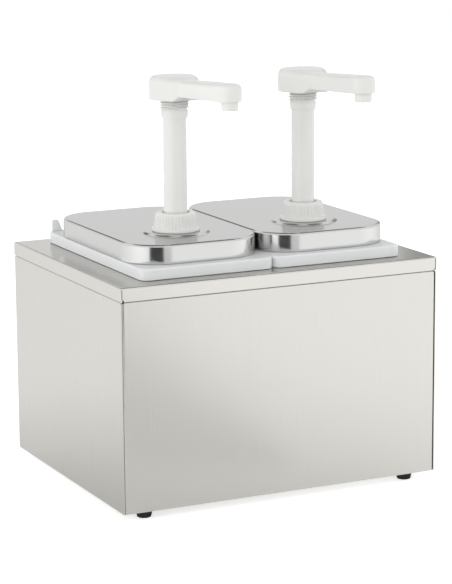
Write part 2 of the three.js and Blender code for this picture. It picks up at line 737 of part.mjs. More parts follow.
function headSection(reach) {
  const width = headHalfWidth(reach);
  const toEnd = Math.min(reach + padBack, spoutReach + spoutWidth / 2 - reach);
  const over = Math.max(headEdge - toEnd, 0);
  const endRise = Math.sqrt(headEdge ** 2 - over ** 2);
  const top = headTop(reach) - headEdge + endRise;
  const side = Math.min(endRise, width * headEdgeShare);
  const edge = roundEdge(Math.max(side, tipFlat));
  const upper = edge.map(([inset, rise]) => [width - inset, top - side + rise]);
  const half = [[width, headBottom(reach)], ...upper];
  const mirrored = half.map(([x, z]) => [-x, z]).reverse();
  return [...half, ...mirrored].map(([x, z]) => new THREE.Vector3(x, -reach, z));
}

function channelRing(reach, level) {
  return Array.from({ length: tinySides }, (_, k) => {
    const turn = (k / tinySides) * Math.PI * 2;
    const [x, rise] = [Math.cos(turn) * channelWidth / 2, Math.sin(turn) * channelHeight / 2];
    return new THREE.Vector3(x, -reach, level + rise);
  });
}

function makeHead() {
  const body = loft(headStations().map(headSection));
  const boss = threadDiameter;
  const hollow = roundedRectangle(padWidth - padWall * 2, (padBack - padWall) * 2, padCorner - padWall);
  const ring = cut(prism(hollow, -overrun, padHollowDepth, fineArcSteps), [
    disc(boss, -overrun * 2, padHollowDepth + overrun, pumpSides),
  ]);
  const socket = disc(stemDiameter + seatGap * 2, -overrun, socketDepth, pumpSides);
  const channel = loft([
    channelRing(-ballDiameter / 2, channelRootLevel),
    channelRing(spoutReach, channelTipLevel),
  ]);
  const tipBore = disc(nozzleSpigotDiameter + seatGap * 2, 0, channelTipLevel, smallSides);
  const stop = disc(seatBore / 2, socketDepth, channelRootLevel + channelHeight / 2 + seatGap, tinySides);
  return join([cut(body, [ring, socket, channel, tipBore.translate([0, -spoutReach, 0])]), stop]);
}

function makeNozzle() {
  const [outer, bore, spigot] = [nozzleDiameter / 2, nozzleBore / 2, nozzleSpigotDiameter / 2];
  const shoulderZ = spoutTipBottom - seatGap - spoutReachDrop();
  const [mouthZ, topZ] = [shoulderZ - nozzleLength, shoulderZ + nozzleSpigotLength];
  return revolve([
    [bore, mouthZ], [outer - nozzleEdge, mouthZ], [outer, mouthZ + nozzleEdge],
    [outer, shoulderZ], [spigot, shoulderZ], [spigot, topZ], [bore, topZ],
  ], smallSides).translate([0, -spoutReach, 0]);
}

// The spout's underside rises across the nozzle, so the nozzle's shoulder sits below its lowest point.
function spoutReachDrop() {
  const slope = (spoutTipBottom - spoutRootBottom) / (spoutReach - skirtCutEnd);
  return slope * nozzleDiameter / 2;
}

// Materials
function finish(color, roughness, metalness) {
  return new THREE.MeshStandardMaterial({ color, roughness, metalness });
}

const brushedSteel = finish(0xcfcdc9, 0.38, 1);
const polishedSteel = finish(0xd4d3d0, 0.22, 1);
const rubber = finish(0x1b1b1c, 0.85, 0);
const zincScrew = finish(0xb4b6b8, 0.35, 1);
const tubPlastic = finish(0xd9dee2, 0.42, 0);
const pumpPlastic = finish(0xecebe7, 0.36, 0);
const clearPlastic = finish(0xe3e6e8, 0.3, 0);
const gasketPlastic = finish(0xdedcd6, 0.7, 0);
const springSteel = finish(0xa9abad, 0.3, 1);

function piece(name, solid, material, place = [0, 0, 0]) {
  const mesh = new THREE.Mesh(geometryOf(solid), material);
  mesh.name = name;
  mesh.position.set(...place);
  return mesh;
}

function makeHousing() {
  const group = new THREE.Group();
  group.add(piece('top_cover', makeTopCover(), brushedSteel));
  group.add(piece('front_panel', makeCrossPanel(-1), brushedSteel));
  group.add(piece('back_panel', makeCrossPanel(1), brushedSteel));
  group.add(piece('left_panel', makeSidePanel(-1), brushedSteel));
  group.add(piece('right_panel', makeSidePanel(1), brushedSteel));
  group.add(piece('base_plate', makeBasePlate(), brushedSteel));
  footPlaces().forEach(([x, y], k) => {
    group.add(piece(`foot_${k + 1}`, makeFoot(), rubber, [x, y, 0]));
    group.add(piece(`foot_screw_${k + 1}`, makeFootScrew(), zincScrew, [x, y, 0]));
  });
  return group;
}

// One tub with its lid and pump. The pump's pieces stand round the pump's axis.
function makeStation(side, x) {
  const group = new THREE.Group();
  group.position.set(x, 0, 0);
  group.add(piece(`${side}_tub`, makeTub(), tubPlastic));
  group.add(piece(`${side}_lid`, makeLid(), polishedSteel));
  const pump = new THREE.Group();
  pump.position.set(0, -pumpForward, 0);
  pump.add(piece(`${side}_neck`, makeNeck(), pumpPlastic));
  pump.add(piece(`${side}_gasket`, makeGasket(), gasketPlastic));
  pump.add(piece(`${side}_closure`, makeClosure(), pumpPlastic));
  pump.add(piece(`${side}_barrel`, makeBarrel(), clearPlastic));
  pump.add(piece(`${side}_guide`, makeGuide(), pumpPlastic));
  pump.add(piece(`${side}_cage`, makeCage(), pumpPlastic));
  pump.add(piece(`${side}_inlet_ball`, makeBall(), springSteel, [0, 0, inletSeatZ + seatRise + seatGap]));
  pump.add(piece(`${side}_dip_tube`, makeDipTube(), clearPlastic));
  pump.add(piece(`${side}_spring`, makeSpring(), springSteel));
  pump.add(piece(`${side}_piston`, makePiston(), clearPlastic));
  pump.add(piece(`${side}_stem`, makeStem(), pumpPlastic));
  const outletSeatZ = headZ + socketDepth - chamberDepth;
  pump.add(piece(`${side}_outlet_ball`, makeBall(), springSteel, [0, 0, outletSeatZ + seatRise + seatGap]));
  pump.add(piece(`${side}_head`, makeHead(), pumpPlastic, [0, 0, headZ]));
  pump.add(piece(`${side}_nozzle`, makeNozzle(), pumpPlastic, [0, 0, headZ]));
  group.add(pump);
  return group;
}

const dispenser = new THREE.Group();
dispenser.position.set(0, frameY, footHeight);
dispenser.add(makeHousing());
dispenser.add(makeStation('left', -tubSpacing / 2));
dispenser.add(makeStation('right', tubSpacing / 2));

export default dispenser;
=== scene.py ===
import math

import bmesh
import bpy
from mathutils import Matrix, Vector


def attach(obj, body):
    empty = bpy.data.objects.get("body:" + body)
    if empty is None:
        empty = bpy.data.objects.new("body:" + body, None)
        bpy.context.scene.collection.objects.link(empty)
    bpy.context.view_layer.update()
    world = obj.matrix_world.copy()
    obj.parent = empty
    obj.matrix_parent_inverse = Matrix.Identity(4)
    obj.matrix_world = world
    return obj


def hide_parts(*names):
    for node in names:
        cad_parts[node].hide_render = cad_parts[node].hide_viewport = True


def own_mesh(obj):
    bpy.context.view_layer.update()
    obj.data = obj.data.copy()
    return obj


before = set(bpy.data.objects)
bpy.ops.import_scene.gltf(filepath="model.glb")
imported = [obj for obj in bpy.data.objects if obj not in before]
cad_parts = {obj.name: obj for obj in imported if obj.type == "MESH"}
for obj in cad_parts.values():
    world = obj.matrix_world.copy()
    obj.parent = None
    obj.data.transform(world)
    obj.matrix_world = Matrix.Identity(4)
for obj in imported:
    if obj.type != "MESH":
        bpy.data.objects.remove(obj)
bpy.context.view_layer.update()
scene = bpy.context.scene
MM = 0.001

# Sizes are in millimetres, in the CAD frame. Names with TOP, BOTTOM, FLOOR or Z are heights, and
# a triple is the width, depth and corner radius of a rounded rectangle.

# Housing
HALF_WIDTH = 163.5
FRONT_Y = -113.6
BACK_Y = 151.4
MIDDLE_Y = 18.9
SHEET = 1.0
SEAT_GAP = 0.3  # between pieces that rest on or against each other
RUNNING_GAP = 0.35  # between pieces that slide or turn
FOLD_RADIUS = 2.0
FOLD_STEPS = 8
COVER_TOP = 218.3
SKIRT = 13.1  # height of the cover's turned-down edge
SLIT = 0.7  # width of the skirt's open corners
RELIEF = (2.2, 1.6)  # width and height of the notch at the foot of each slit
CUTOUT_PLAY = 1.5  # round the tub in the cover
PANEL_SETBACK = 0.3  # of the body sheets' faces behind the cover's
SEAM = 1.2  # between the skirt and the body sheets' full faces
JOGGLE = 1.0  # how far a body sheet steps in behind the skirt
JOGGLE_RISE = 0.8  # height over which it does
JOGGLE_LAP = 4.0  # of the stepped strip over the full face below it
JOGGLE_Z = COVER_TOP - SKIRT - SEAM
STRIP_SINK = 0.05  # of the stepped strip behind the full face
FOLD_TOP = JOGGLE_Z - SEAT_GAP
RETURN_FLANGE = 14.0
BASE_FLANGE = 12.0
PANEL_TOP = COVER_TOP - SHEET - SEAT_GAP
PANEL_BOTTOM = 8.1
PANEL_HALF_WIDTH = HALF_WIDTH - PANEL_SETBACK
PANEL_FRONT = FRONT_Y + PANEL_SETBACK
PANEL_BACK = BACK_Y - PANEL_SETBACK

# Feet and their screws
FOOT_HEIGHT = 7.2
FOOT_X = 137.5
FOOT_YS = (-99.6, 137.4)
FOOT_BOTTOM_RADIUS = 6.5
FOOT_TOP_RADIUS = 8.0
FOOT_RECESS = (4.2, 4.0)  # radius and depth of the hollow for the screw's head
FOOT_HOLE_RADIUS = 2.35
SCREW_HEAD_RADIUS = 3.7
SCREW_HEAD = (1.3, 3.7)  # lower and upper height of the head
SCREW_RADIUS = 2.0
SCREW_TOP = 10.4
COLLAR = (4.0, 2.6)  # radius and height of the base plate's drawn collars

# Tubs and lids
STATION_X = 67.4
RIM = (134.4, 230.7, 9.0)
RIM_BOTTOM = 218.6
RIM_TOP = 229.2
RIM_EDGE = 1.2
UPSTAND = (129.6, 203.4, 35.2)
UPSTAND_TOP = 236.2
UPSTAND_EDGE = 0.8
TUB_WALL = 2.2
BODY = (121.0, 194.8, 30.9)
BODY_BOTTOM = 27.7
BODY_DRAFT = 3.0
BODY_ROUND = 9.0
BODY_LEVELS = (90.0, 160.0)  # rings between the floor and the rim
EAR_BACK_Y = 133.25
EAR_HEIGHT = 11.9
EAR_INSET = 4.0
EAR_WIDTHS = (6.5, 10.2, 12.6)  # at the top, above the foot and at the foot
EAR_SINK = 0.6
LID = (133.2, 207.0, 37.0)
LID_BOTTOM = 229.5
LID_TOP = 247.6
LID_EDGE = 2.5
LID_SHEET = 0.8
SEAT_TOP = 249.2
SEAT_RADIUS = 32.0

# Pumps
PUMP_Y = -23.6
NECK_RADIUS = 17.0
NECK_BORE = 15.6
NECK_TOP = 260.2
NECK_FLANGE_RADIUS = 27.0
NECK_FLANGE_TOP = 248.1
NECK_FLANGE = 2.6
GASKET = 1.2
CLOSURE_BOTTOM = 249.5
CLOSURE_TOP = 266.7
CLOSURE_WALL = 2.4  # of the closure's top
CLOSURE_EDGE = 3.0
RIBS = 40
RIB_POINTS = 8
RIB_DEPTH = 0.6
BARREL_TOP = 264.0
BARREL_FLANGE = 2.0
BARREL_FLOOR = 99.3
BARREL_BORE = 12.5
BARREL_RADIUS = 14.3
BELL_FLOOR = 242.0
BELL_BORE = 13.85
BELL_WALL = 1.4
BELL_TAPER = 3.0
GUIDE = (11.4, 13.55, 16.9)  # inner and outer radius, and how far it reaches up the bell
INLET_SEAT = 89.27
VALVE_BORE = 3.5
CHAMBER_RADIUS = 6.0
BALL_RADIUS = 4.5
INLET_BALL_Z = 92.4
OUTLET_BALL_Z = 375.4
SOCKET_TOP = 85.27
SOCKET_DEPTH = 12.0
SOCKET_BORE = 6.3
SOCKET_RADIUS = 8.3
DIP_Z = 37.9
DIP_BORE = 4.7
DIP_RADIUS = 6.0
DIP_CUT = 4.2  # height of the slanting cuts at the dip tube's lower end
CAGE_Z = 99.6
CAGE_TOP = 102.0
CAGE_BAR = (6.4, 1.3)  # half length and half width
SPRING_RADIUS = 10.6
SPRING_WIRE = 0.7
SPRING_TURNS = 8.0
SPRING_END_RISE = 1.7  # of the turn that lies flat at each end
PISTON_Z = 229.7
PISTON_TOP = 241.7
PISTON_BORE = 8.8
PISTON_RADIUS = 12.15  # of the lips, and of the cage
PISTON_WAIST = 10.95
PISTON_LIP = 2.4
STEM_RADIUS = 11.05
STEM_BORE = 6.65
STEM_SPIGOT = 8.5  # inside the piston
STEM_REACH = 9.5  # into the head
OUTLET_DEPTH = 10.0  # of the outlet valve's chamber
COLLAR_Z = 355.4
COLLAR_RADII = (12.2, 12.8)  # at the collar's foot and top
THREAD_Z = 362.0
THREAD_RADIUS = 13.45
THREAD_ROOT = 12.0
THREAD_DEPTH = 1.35
THREAD_PITCH = 2.5
THREAD_TURNS = 3.8
HEAD_Z = 372.8

# Heads, from the stem's axis towards the tip of the spout
PAD_HALF = 24.0
PAD_BACK = 21.5
PAD_CORNER = 21.0
PAD_TOP = 21.5
PAD_WALL = 2.2
PAD_HOLLOW = 8.5
FLARE = (PAD_CORNER - PAD_BACK, 35.0)  # where the pad narrows to the spout
STEP = (18.0, 26.0)  # where the pad's top steps down to the spout
CUT = (22.5, 34.5)  # where the pad's skirt rises to the spout's underside
ARM_HALF = 10.9
ARM_TOP = (19.3, 25.0)
ARM_BOTTOM = (5.0, 8.9)
HEAD_EDGE = 5.3
HEAD_LIP = 0.7
STEM_SOCKET = (11.2, 9.8)  # radius and depth
BOSS = (13.4, 9.2)
OUTLET_RADIUS = 6.8
TIP_REACH = 127.8
NOZZLE_REACH = 117.2
NOZZLE_Z = HEAD_Z + 1.25
NOZZLE_RADII = (4.5, 6.5, 7.7)  # of the bore, the spigot and the mouth

# Fineness and tolerances of the shapes
TURN_SIDES = 80
BALL_STEPS = 16
HELIX_STEPS = 48
EDGE_STEPS = 4
CORNER_SHARE = 0.46  # the most of a side that one round corner takes
AXIS_RADIUS = 0.01  # of a ring that stands in for a point on the axis
LEAST_CORNER = 0.05
CUTTER_REACH = 2.0  # of a cutter past the sheet that it cuts
SHARP_ANGLE = math.radians(38)


# Shapes: every shape is a pair of a point list in millimetres and a face list

def skin(rings, looped=False):
    """Quads through rings with equal numbers of points, capped at both ends unless looped."""
    count = len(rings[0])
    points = [point for ring in rings for point in ring]
    faces = []
    for level in range(len(rings) if looped else len(rings) - 1):
        low, high = level * count, (level + 1) % len(rings) * count
        for k in range(count):
            following = (k + 1) % count
            faces.append((low + k, low + following, high + following, high + k))
    if not looped:
        last = (len(rings) - 1) * count
        faces.append(tuple(reversed(range(count))))
        faces.append(tuple(range(last, last + count)))
    return points, faces


def joined(*shapes):
    """One shape from several."""
    points, faces = [], []
    for own_points, own_faces in shapes:
        start = len(points)
        points += own_points
        faces += [tuple(start + k for k in face) for face in own_faces]
    return points, faces


def shifted(shape, x=0.0, y=0.0, z=0.0):
    """The shape moved along the axes."""
    return [(px + x, py + y, pz + z) for px, py, pz in shape[0]], shape[1]


def soften(profile, radius, looped=True):
    """The profile with round corners. A third value of a point is its own radius."""
    out = []
    count = len(profile)
    for k, entry in enumerate(profile):
        here = Vector(entry[:2])
        if not looped and k in (0, count - 1):
            out.append(tuple(here))
            continue
        own = entry[2] if len(entry) > 2 else radius
        before = Vector(profile[k - 1][:2]) - here
        after = Vector(profile[(k + 1) % count][:2]) - here
        reach = min(own, before.length * CORNER_SHARE, after.length * CORNER_SHARE)
        start = here + before.normalized() * reach
        end = here + after.normalized() * reach
        for step in range(EDGE_STEPS + 1):
            share = step / EDGE_STEPS
            bent = start.lerp(here, share).lerp(here.lerp(end, share), share)
            out.append(tuple(bent))
    return out


def turned(profile, radius=0.0, sides=TURN_SIDES):
    """Solid of revolution about Z from (radius, z) points, closed unless it starts on the axis."""
    solid = profile[0][0] == 0
    if radius:
        profile = soften(profile, radius, looped=not solid)
    turns = [math.tau * k / sides for k in range(sides)]
    rings = []
    for reach, z in (entry[:2] for entry in profile):
        reach = max(reach, AXIS_RADIUS)
        rings.append([(reach * math.cos(turn), reach * math.sin(turn), z) for turn in turns])
    return skin(rings, looped=not solid)


def oblong(size, z, inset=0.0, centre=(0.0, 0.0), steps=10, straights=6):
    """Ring of points on a rectangle with round corners."""
    width, depth = size[0] - inset * 2, size[1] - inset * 2
    radius = max(size[2] - inset, LEAST_CORNER)
    right, back = width / 2 - radius, depth / 2 - radius
    corners = [(right, -back), (right, back), (-right, back), (-right, -back)]
    points = []
    for k, (x, y) in enumerate(corners):
        for step in range(steps + 1):
            turn = math.tau / 4 * (k - 1 + step / steps)
            points.append((x + radius * math.cos(turn), y + radius * math.sin(turn)))
        ahead = corners[(k + 1) % 4]
        turn = math.tau / 4 * k
        end = (ahead[0] + radius * math.cos(turn), ahead[1] + radius * math.sin(turn))
        start = points[-1]
        for step in range(1, straights):
            share = step / straights
            points.append((start[0] + (end[0] - start[0]) * share,
                           start[1] + (end[1] - start[1]) * share))
    return [(x + centre[0], y + centre[1], z) for x, y in points]


def quarter(radius, steps=6):
    """Insets and rises of a quarter round edge."""
    turns = [math.tau / 4 * k / steps for k in range(steps + 1)]
    return [(radius * (1 - math.cos(turn)), radius * math.sin(turn)) for turn in turns]


def extruded(outline, low, high):
    """Upright prism over an outline of (x, y) points."""
    return skin([[(x, y, z) for x, y in outline] for z in (low, high)])


def brick(low, high):
    """Block between two opposite corners."""
    (x0, y0, z0), (x1, y1, z1) = low, high
    return extruded([(x0, y0), (x1, y0), (x1, y1), (x0, y1)], z0, z1)


def helix(radius, low, turns, rise, outline, taper):
    """Ridge or wire along a helix. The outline holds (out, up) points, drawn in at both ends by
    taper turns, and rise gives the height after a number of turns."""
    rings = []
    for k in range(round(turns * HELIX_STEPS) + 1):
        turn = k / HELIX_STEPS
        ends = min(turn, turns - turn) / taper if taper else 1.0
        size = max(min(ends, 1.0), 0.04)
        angle = math.tau * turn
        ring = []
        for out, up in outline:
            reach = radius + out * size
            ring.append((reach * math.cos(angle), reach * math.sin(angle),
                         low + rise(turn) + up * size))
        rings.append(ring)
    return skin(rings)


# Pieces

def add_mesh(name, points, faces):
    """New object in the scene with a mesh of its own, in metres."""
    mesh = bpy.data.meshes.new(name)
    mesh.from_pydata(points, [], faces)
    item = bpy.data.objects.new(name, mesh)
    scene.collection.objects.link(item)
    return item


def smooth(mesh):
    mesh.polygons.foreach_set("use_smooth", [True] * len(mesh.polygons))
    mesh.set_sharp_from_angle(angle=SHARP_ANGLE)


def flatten(piece):
    """Keeps the shading of flat faces flat beside small round edges."""
    normals = piece.modifiers.new("flat_faces", "WEIGHTED_NORMAL")
    normals.keep_sharp = True


def make_solid(name, shape, material):
    """Object from a shape, with its normals outwards."""
    points, faces = shape
    solid = add_mesh(name, [Vector(point) * MM for point in points], faces)
    cleaned = bmesh.new()
    cleaned.from_mesh(solid.data)
    bmesh.ops.recalc_face_normals(cleaned, faces=cleaned.faces)
    cleaned.to_mesh(solid.data)
    cleaned.free()
    smooth(solid.data)
    solid.data.materials.append(material)
    return solid


def make_piece(name, shape, finish, body, *nodes):
    """Visible piece that takes the place of CAD nodes and moves with their body."""
    material, slot = finish
    piece = make_solid(name, shape, material)
    flatten(piece)
    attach(piece, body)
    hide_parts(*nodes)
    return piece


def carve(piece, *shapes):
    """Cuts shapes out of a piece and keeps the result as its mesh."""
    piece.modifiers.clear()
    cutters = []
    for k, shape in enumerate(shapes):
        cutter = make_solid(f"{piece.name}_cut_{k}", shape, piece.data.materials[0])
        cutters.append(cutter)
        cut = piece.modifiers.new(f"cut_{k}", "BOOLEAN")
        cut.operation = "DIFFERENCE"
        cut.solver = "EXACT"
        cut.object = cutter
    bpy.context.view_layer.update()
    evaluated = piece.evaluated_get(bpy.context.evaluated_depsgraph_get())
    result = bpy.data.meshes.new_from_object(evaluated)
    piece.modifiers.clear()
    piece.data = result
    for cutter in cutters:
        bpy.data.objects.remove(cutter)
    smooth(result)
    flatten(piece)


# Materials

EDGE_TINT = (0.78, 0.78, 0.78, 1.0)  # of metals at a grazing angle
STEEL_CLOUD = 0.012  # how far each kind of texture shifts a colour
STEEL_STREAK = 0.008
PLASTIC_CLOUD = 0.02
MIX_FIRST, MIX_SECOND, MIX_RESULT = 6, 7, 2  # sockets of a Mix node that mixes colours


def linear(red, green, blue):
    """Colour written as the 0 to 255 values of a picture."""
    def decode(value):
        value /= 255
        return value / 12.92 if value <= 0.04045 else ((value + 0.055) / 1.055) ** 2.4
    return decode(red), decode(green), decode(blue), 1.0


def tinted(colour, factor):
    return tuple(min(value * factor, 1.0) for value in colour[:3]) + (1.0,)


def feed(tree, node, values):
    """Gives a node's inputs, by name or number, fixed values or other nodes' outputs."""
    for key, value in values.items():
        if isinstance(value, bpy.types.NodeSocket):
            tree.links.new(value, node.inputs[key])
        else:
            node.inputs[key].default_value = value


def add_node(tree, kind, values, **settings):
    """New shader node, with its inputs fed and settings such as its operation."""
    node = tree.nodes.new("ShaderNode" + kind)
    for key, value in settings.items():
        setattr(node, key, value)
    feed(tree, node, values)
    return node


class Shader:
    """A material with one Principled shader and helpers for its textures."""

    def __init__(self, name, colour, roughness, metallic=0.0):
        self.material = bpy.data.materials.new(name)
        self.material.use_nodes = True
        self.tree = self.material.node_tree
        self.surface = self.tree.nodes["Principled BSDF"]
        self.set({"Base Color": colour, "Roughness": roughness, "Metallic": metallic})
        if metallic:
            self.set({"Specular Tint": EDGE_TINT})
        self.place = add_node(self.tree, "TexCoord", {}).outputs["Object"]

    def set(self, values):
        feed(self.tree, self.surface, values)

    def noise(self, scale, stretch=(1, 1, 1), detail=3.0, rough=0.5):
        mapping = add_node(self.tree, "Mapping", {"Vector": self.place, "Scale": stretch})
        texture = add_node(self.tree, "TexNoise", {
            "Vector": mapping.outputs["Vector"], "Scale": scale, "Detail": detail,
            "Roughness": rough})
        return texture.outputs["Fac"]

    def ranged(self, value, low, high, start=0.3, end=0.7):
        """Maps the span from start to end onto the span from low to high."""
        node = add_node(self.tree, "MapRange", {
            "Value": value, "From Min": start, "From Max": end, "To Min": low, "To Max": high})
        return node.outputs["Result"]

    def blend(self, share, first, second):
        node = add_node(self.tree, "Mix", {
            "Factor": share, MIX_FIRST: first, MIX_SECOND: second}, data_type="RGBA")
        return node.outputs[MIX_RESULT]

    def varied(self, colour, amount, share):
        """The colour, a little darker or brighter with the share."""
        return self.blend(share, tinted(colour, 1 - amount), tinted(colour, 1 + amount))

    def bump(self, height, distance):
        """Raises the surface by up to a distance in metres."""
        node = add_node(self.tree, "Bump", {
            "Height": height, "Distance": distance, "Strength": 1.0})
        self.set({"Normal": node.outputs["Normal"]})


def steel(name, colour, roughness, stretch, grain=0.0000007):
    """Brushed sheet: fine scratches along one direction, with faint clouds."""
    shader = Shader(name, colour, roughness, metallic=1.0)
    lines = shader.noise(1.0, stretch, detail=4.0, rough=0.65)
    clouds = shader.noise(9.0, detail=2.0)
    clouded = shader.varied(colour, STEEL_CLOUD, shader.ranged(clouds, 0.0, 1.0))
    streaked = shader.varied(colour, STEEL_STREAK, shader.ranged(lines, 0.0, 1.0, 0.35, 0.65))
    shader.set({"Base Color": shader.blend(0.5, clouded, streaked),
                "Roughness": shader.ranged(lines, roughness * 0.93, roughness * 1.07)})
    shader.bump(lines, grain)
    return shader.material


def plastic(name, colour, roughness, grain=0.00001, milky=0.0):
    """Moulded plastic: faint flow clouds, a fine skin and soft variation of gloss."""
    shader = Shader(name, colour, roughness)
    shader.set({"IOR": 1.49})
    if milky:
        shader.set({"Subsurface Weight": milky, "Subsurface Radius": (1.0, 1.0, 1.0),
                    "Subsurface Scale": 0.004})
    clouds = shader.noise(14.0, (1.0, 1.0, 0.4), detail=3.0)
    clouded = shader.varied(colour, PLASTIC_CLOUD, shader.ranged(clouds, 0.0, 1.0))
    shader.set({"Base Color": clouded,
                "Roughness": shader.ranged(clouds, roughness * 0.9, roughness * 1.12)})
    shader.bump(shader.noise(900.0, detail=2.0), grain)
    return shader.material


def rubber(name, colour):
    """Matt rubber with a fine grain and a little dust."""
    shader = Shader(name, colour, 0.78)
    speckle = shader.noise(700.0, detail=4.0)
    dust = shader.noise(60.0, detail=3.0)
    dusty = shader.blend(shader.ranged(dust, 0.0, 1.0), colour, tinted(colour, 1.8))
    shader.set({"Base Color": dusty, "Roughness": shader.ranged(speckle, 0.7, 0.9)})
    shader.bump(speckle, 0.00006)
    return shader.material


# A finish is a material and its slot's name in the record. The three numbers of a steel are how
# closely its scratches lie along each axis.
SHEET_COLOUR = linear(217, 215, 210)
UPRIGHT_STEEL = (
    steel("upright_brushed_steel", SHEET_COLOUR, 0.26, (900.0, 900.0, 3.0)), "brushed_steel")
BASE_STEEL = (
    steel("level_brushed_steel", SHEET_COLOUR, 0.26, (9.0, 1500.0, 1500.0)), "brushed_steel")
COVER_STEEL = (
    steel("cover_brushed_steel", SHEET_COLOUR, 0.2, (1500.0, 9.0, 1500.0)), "brushed_steel")
LID_STEEL = (
    steel("drawn_lid_steel", linear(211, 211, 210), 0.17, (14.0, 14.0, 1700.0), grain=0.0000015),
    "lid_steel")
SCREW_STEEL = (
    steel("zinc_screw_steel", linear(180, 182, 184), 0.35, (400.0, 400.0, 400.0)), "zinc_screw")
WIRE_STEEL = (
    steel("bright_wire_steel", linear(190, 191, 193), 0.22, (600.0, 600.0, 600.0)), "spring_steel")
TUB_PLASTIC = (plastic("tub_plastic", linear(238, 240, 241), 0.36, milky=0.35), "tub_plastic")
PUMP_PLASTIC = (plastic("pump_plastic", linear(235, 235, 232), 0.3, milky=0.35), "pump_plastic")
CLEAR_PLASTIC = (
    plastic("natural_plastic", linear(226, 229, 230), 0.3, milky=0.3), "clear_plastic")
GASKET_FOAM = (plastic("gasket_foam", linear(222, 220, 214), 0.7, grain=0.00006), "gasket_plastic")
FOOT_RUBBER = (rubber("foot_rubber", linear(30, 31, 36)), "foot_rubber")


# Housing

def cover_block(inset):
    """Block whose four upper edges are round folds that meet in mitred corners."""
    half_width = HALF_WIDTH - inset
    half_depth = (BACK_Y - FRONT_Y) / 2 - inset
    top, bottom = COVER_TOP - inset, COVER_TOP - SKIRT - inset
    radius = FOLD_RADIUS - inset
    levels = [(0.0, bottom)]
    levels += [(extra, top - radius + rise) for extra, rise in quarter(radius, FOLD_STEPS)]
    rings = []
    for extra, z in levels:
        x, y = half_width - extra, half_depth - extra
        corners = [(-x, -y), (x, -y), (x, y), (-x, y)]
        rings.append([(px, MIDDLE_Y + py, z) for px, py in corners])
    return skin(rings)


def make_cover():
    cover = make_piece("top_cover_sheet", cover_block(0.0), COVER_STEEL, "housing", "top_cover")
    size = (BODY[0] + CUTOUT_PLAY * 2, BODY[1] + CUTOUT_PLAY * 2, BODY[2] + CUTOUT_PLAY)
    cuts = [cover_block(SHEET)]
    for sign in (-1, 1):
        centre = (sign * STATION_X, MIDDLE_Y)
        cuts.append(skin([oblong(size, z, centre=centre) for z in (COVER_TOP - 3, COVER_TOP + 3)]))
    bottom = COVER_TOP - SKIRT
    edge = HALF_WIDTH - SHEET
    deep = SHEET + 0.4  # a little more than the sheet
    spans = ((FRONT_Y - CUTTER_REACH, FRONT_Y + deep), (BACK_Y - deep, BACK_Y + CUTTER_REACH))
    for sign in (-1, 1):
        slit = sorted((sign * (edge - SLIT), sign * edge))
        relief = sorted((sign * (edge - RELIEF[0]), sign * edge))
        for y0, y1 in spans:
            cuts.append(brick((slit[0], y0, bottom - CUTTER_REACH),
                              (slit[1], y1, COVER_TOP - FOLD_RADIUS)))
            cuts.append(brick((relief[0], y0, bottom - CUTTER_REACH - 0.1),
                              (relief[1], y1, bottom + RELIEF[1])))
    carve(cover, *cuts)


def joggle():
    """Section of a body sheet's upper strip: z, and how far outside the full face."""
    low, thin, bent = JOGGLE_Z - JOGGLE_LAP, SHEET - 0.1, JOGGLE_Z + JOGGLE_RISE
    return [
        (-thin, low), (0.0, low), (0.0, JOGGLE_Z - 0.15), (-0.12, JOGGLE_Z + 0.05),
        (-JOGGLE, bent), (-JOGGLE, PANEL_TOP), (-JOGGLE - thin, PANEL_TOP),
        (-JOGGLE - thin, bent), (-thin, JOGGLE_Z),
    ]


def make_cross_panel(name, front):
    """Front or back sheet, with its ends folded back along the side sheets."""
    half = PANEL_HALF_WIDTH - SHEET - SEAT_GAP
    outer, inner = FOLD_RADIUS, FOLD_RADIUS - SHEET

    def fold(radius, start, way, sign):
        out = []
        for k in range(FOLD_STEPS + 1):
            angle = way * math.tau / 4 * (start + k / FOLD_STEPS)
            out.append((sign * (half - outer) + radius * math.cos(angle),
                        outer + radius * math.sin(angle)))
        return out

    outline = fold(outer, 0, -1, 1) + fold(outer, 1, -1, -1)
    outline += [(-half, RETURN_FLANGE), (-half + SHEET, RETURN_FLANGE)]
    outline += fold(inner, 2, 1, -1) + fold(inner, 3, 1, 1)
    outline += [(half - SHEET, RETURN_FLANGE), (half, RETURN_FLANGE)]
    if front:
        outline = [(x, PANEL_FRONT + y) for x, y in outline]
    else:
        outline = [(-x, PANEL_BACK - y) for x, y in outline]
    length = (half - outer) * 2
    face, sign = (PANEL_FRONT, -1) if front else (PANEL_BACK, 1)
    strip = [[(x, face + sign * (out - STRIP_SINK), z) for out, z in joggle()]
             for x in (-length / 2, length / 2)]
    shape = joined(extruded(outline, PANEL_BOTTOM, FOLD_TOP), skin(strip))
    make_piece(f"{name}_sheet", shape, UPRIGHT_STEEL, "housing", name)


def make_side_panel(name, sign):
    centre = (sign * (PANEL_HALF_WIDTH - SHEET / 2), MIDDLE_Y)
    size = (SHEET, PANEL_BACK - PANEL_FRONT, 0.25)
    bevel = 0.2
    levels = [(bevel, PANEL_BOTTOM), (0.0, PANEL_BOTTOM + bevel),
              (0.0, FOLD_TOP - bevel), (bevel, FOLD_TOP)]
    rings = [oblong(size, z, inset, centre, steps=4, straights=2) for inset, z in levels]
    ends = (PANEL_FRONT + JOGGLE, PANEL_BACK - JOGGLE)
    strip = [[(sign * (PANEL_HALF_WIDTH + out - STRIP_SINK), y, z) for out, z in joggle()]
             for y in ends]
    shape = joined(skin(rings), skin(strip))
    make_piece(f"{name}_sheet", shape, UPRIGHT_STEEL, "housing", name)


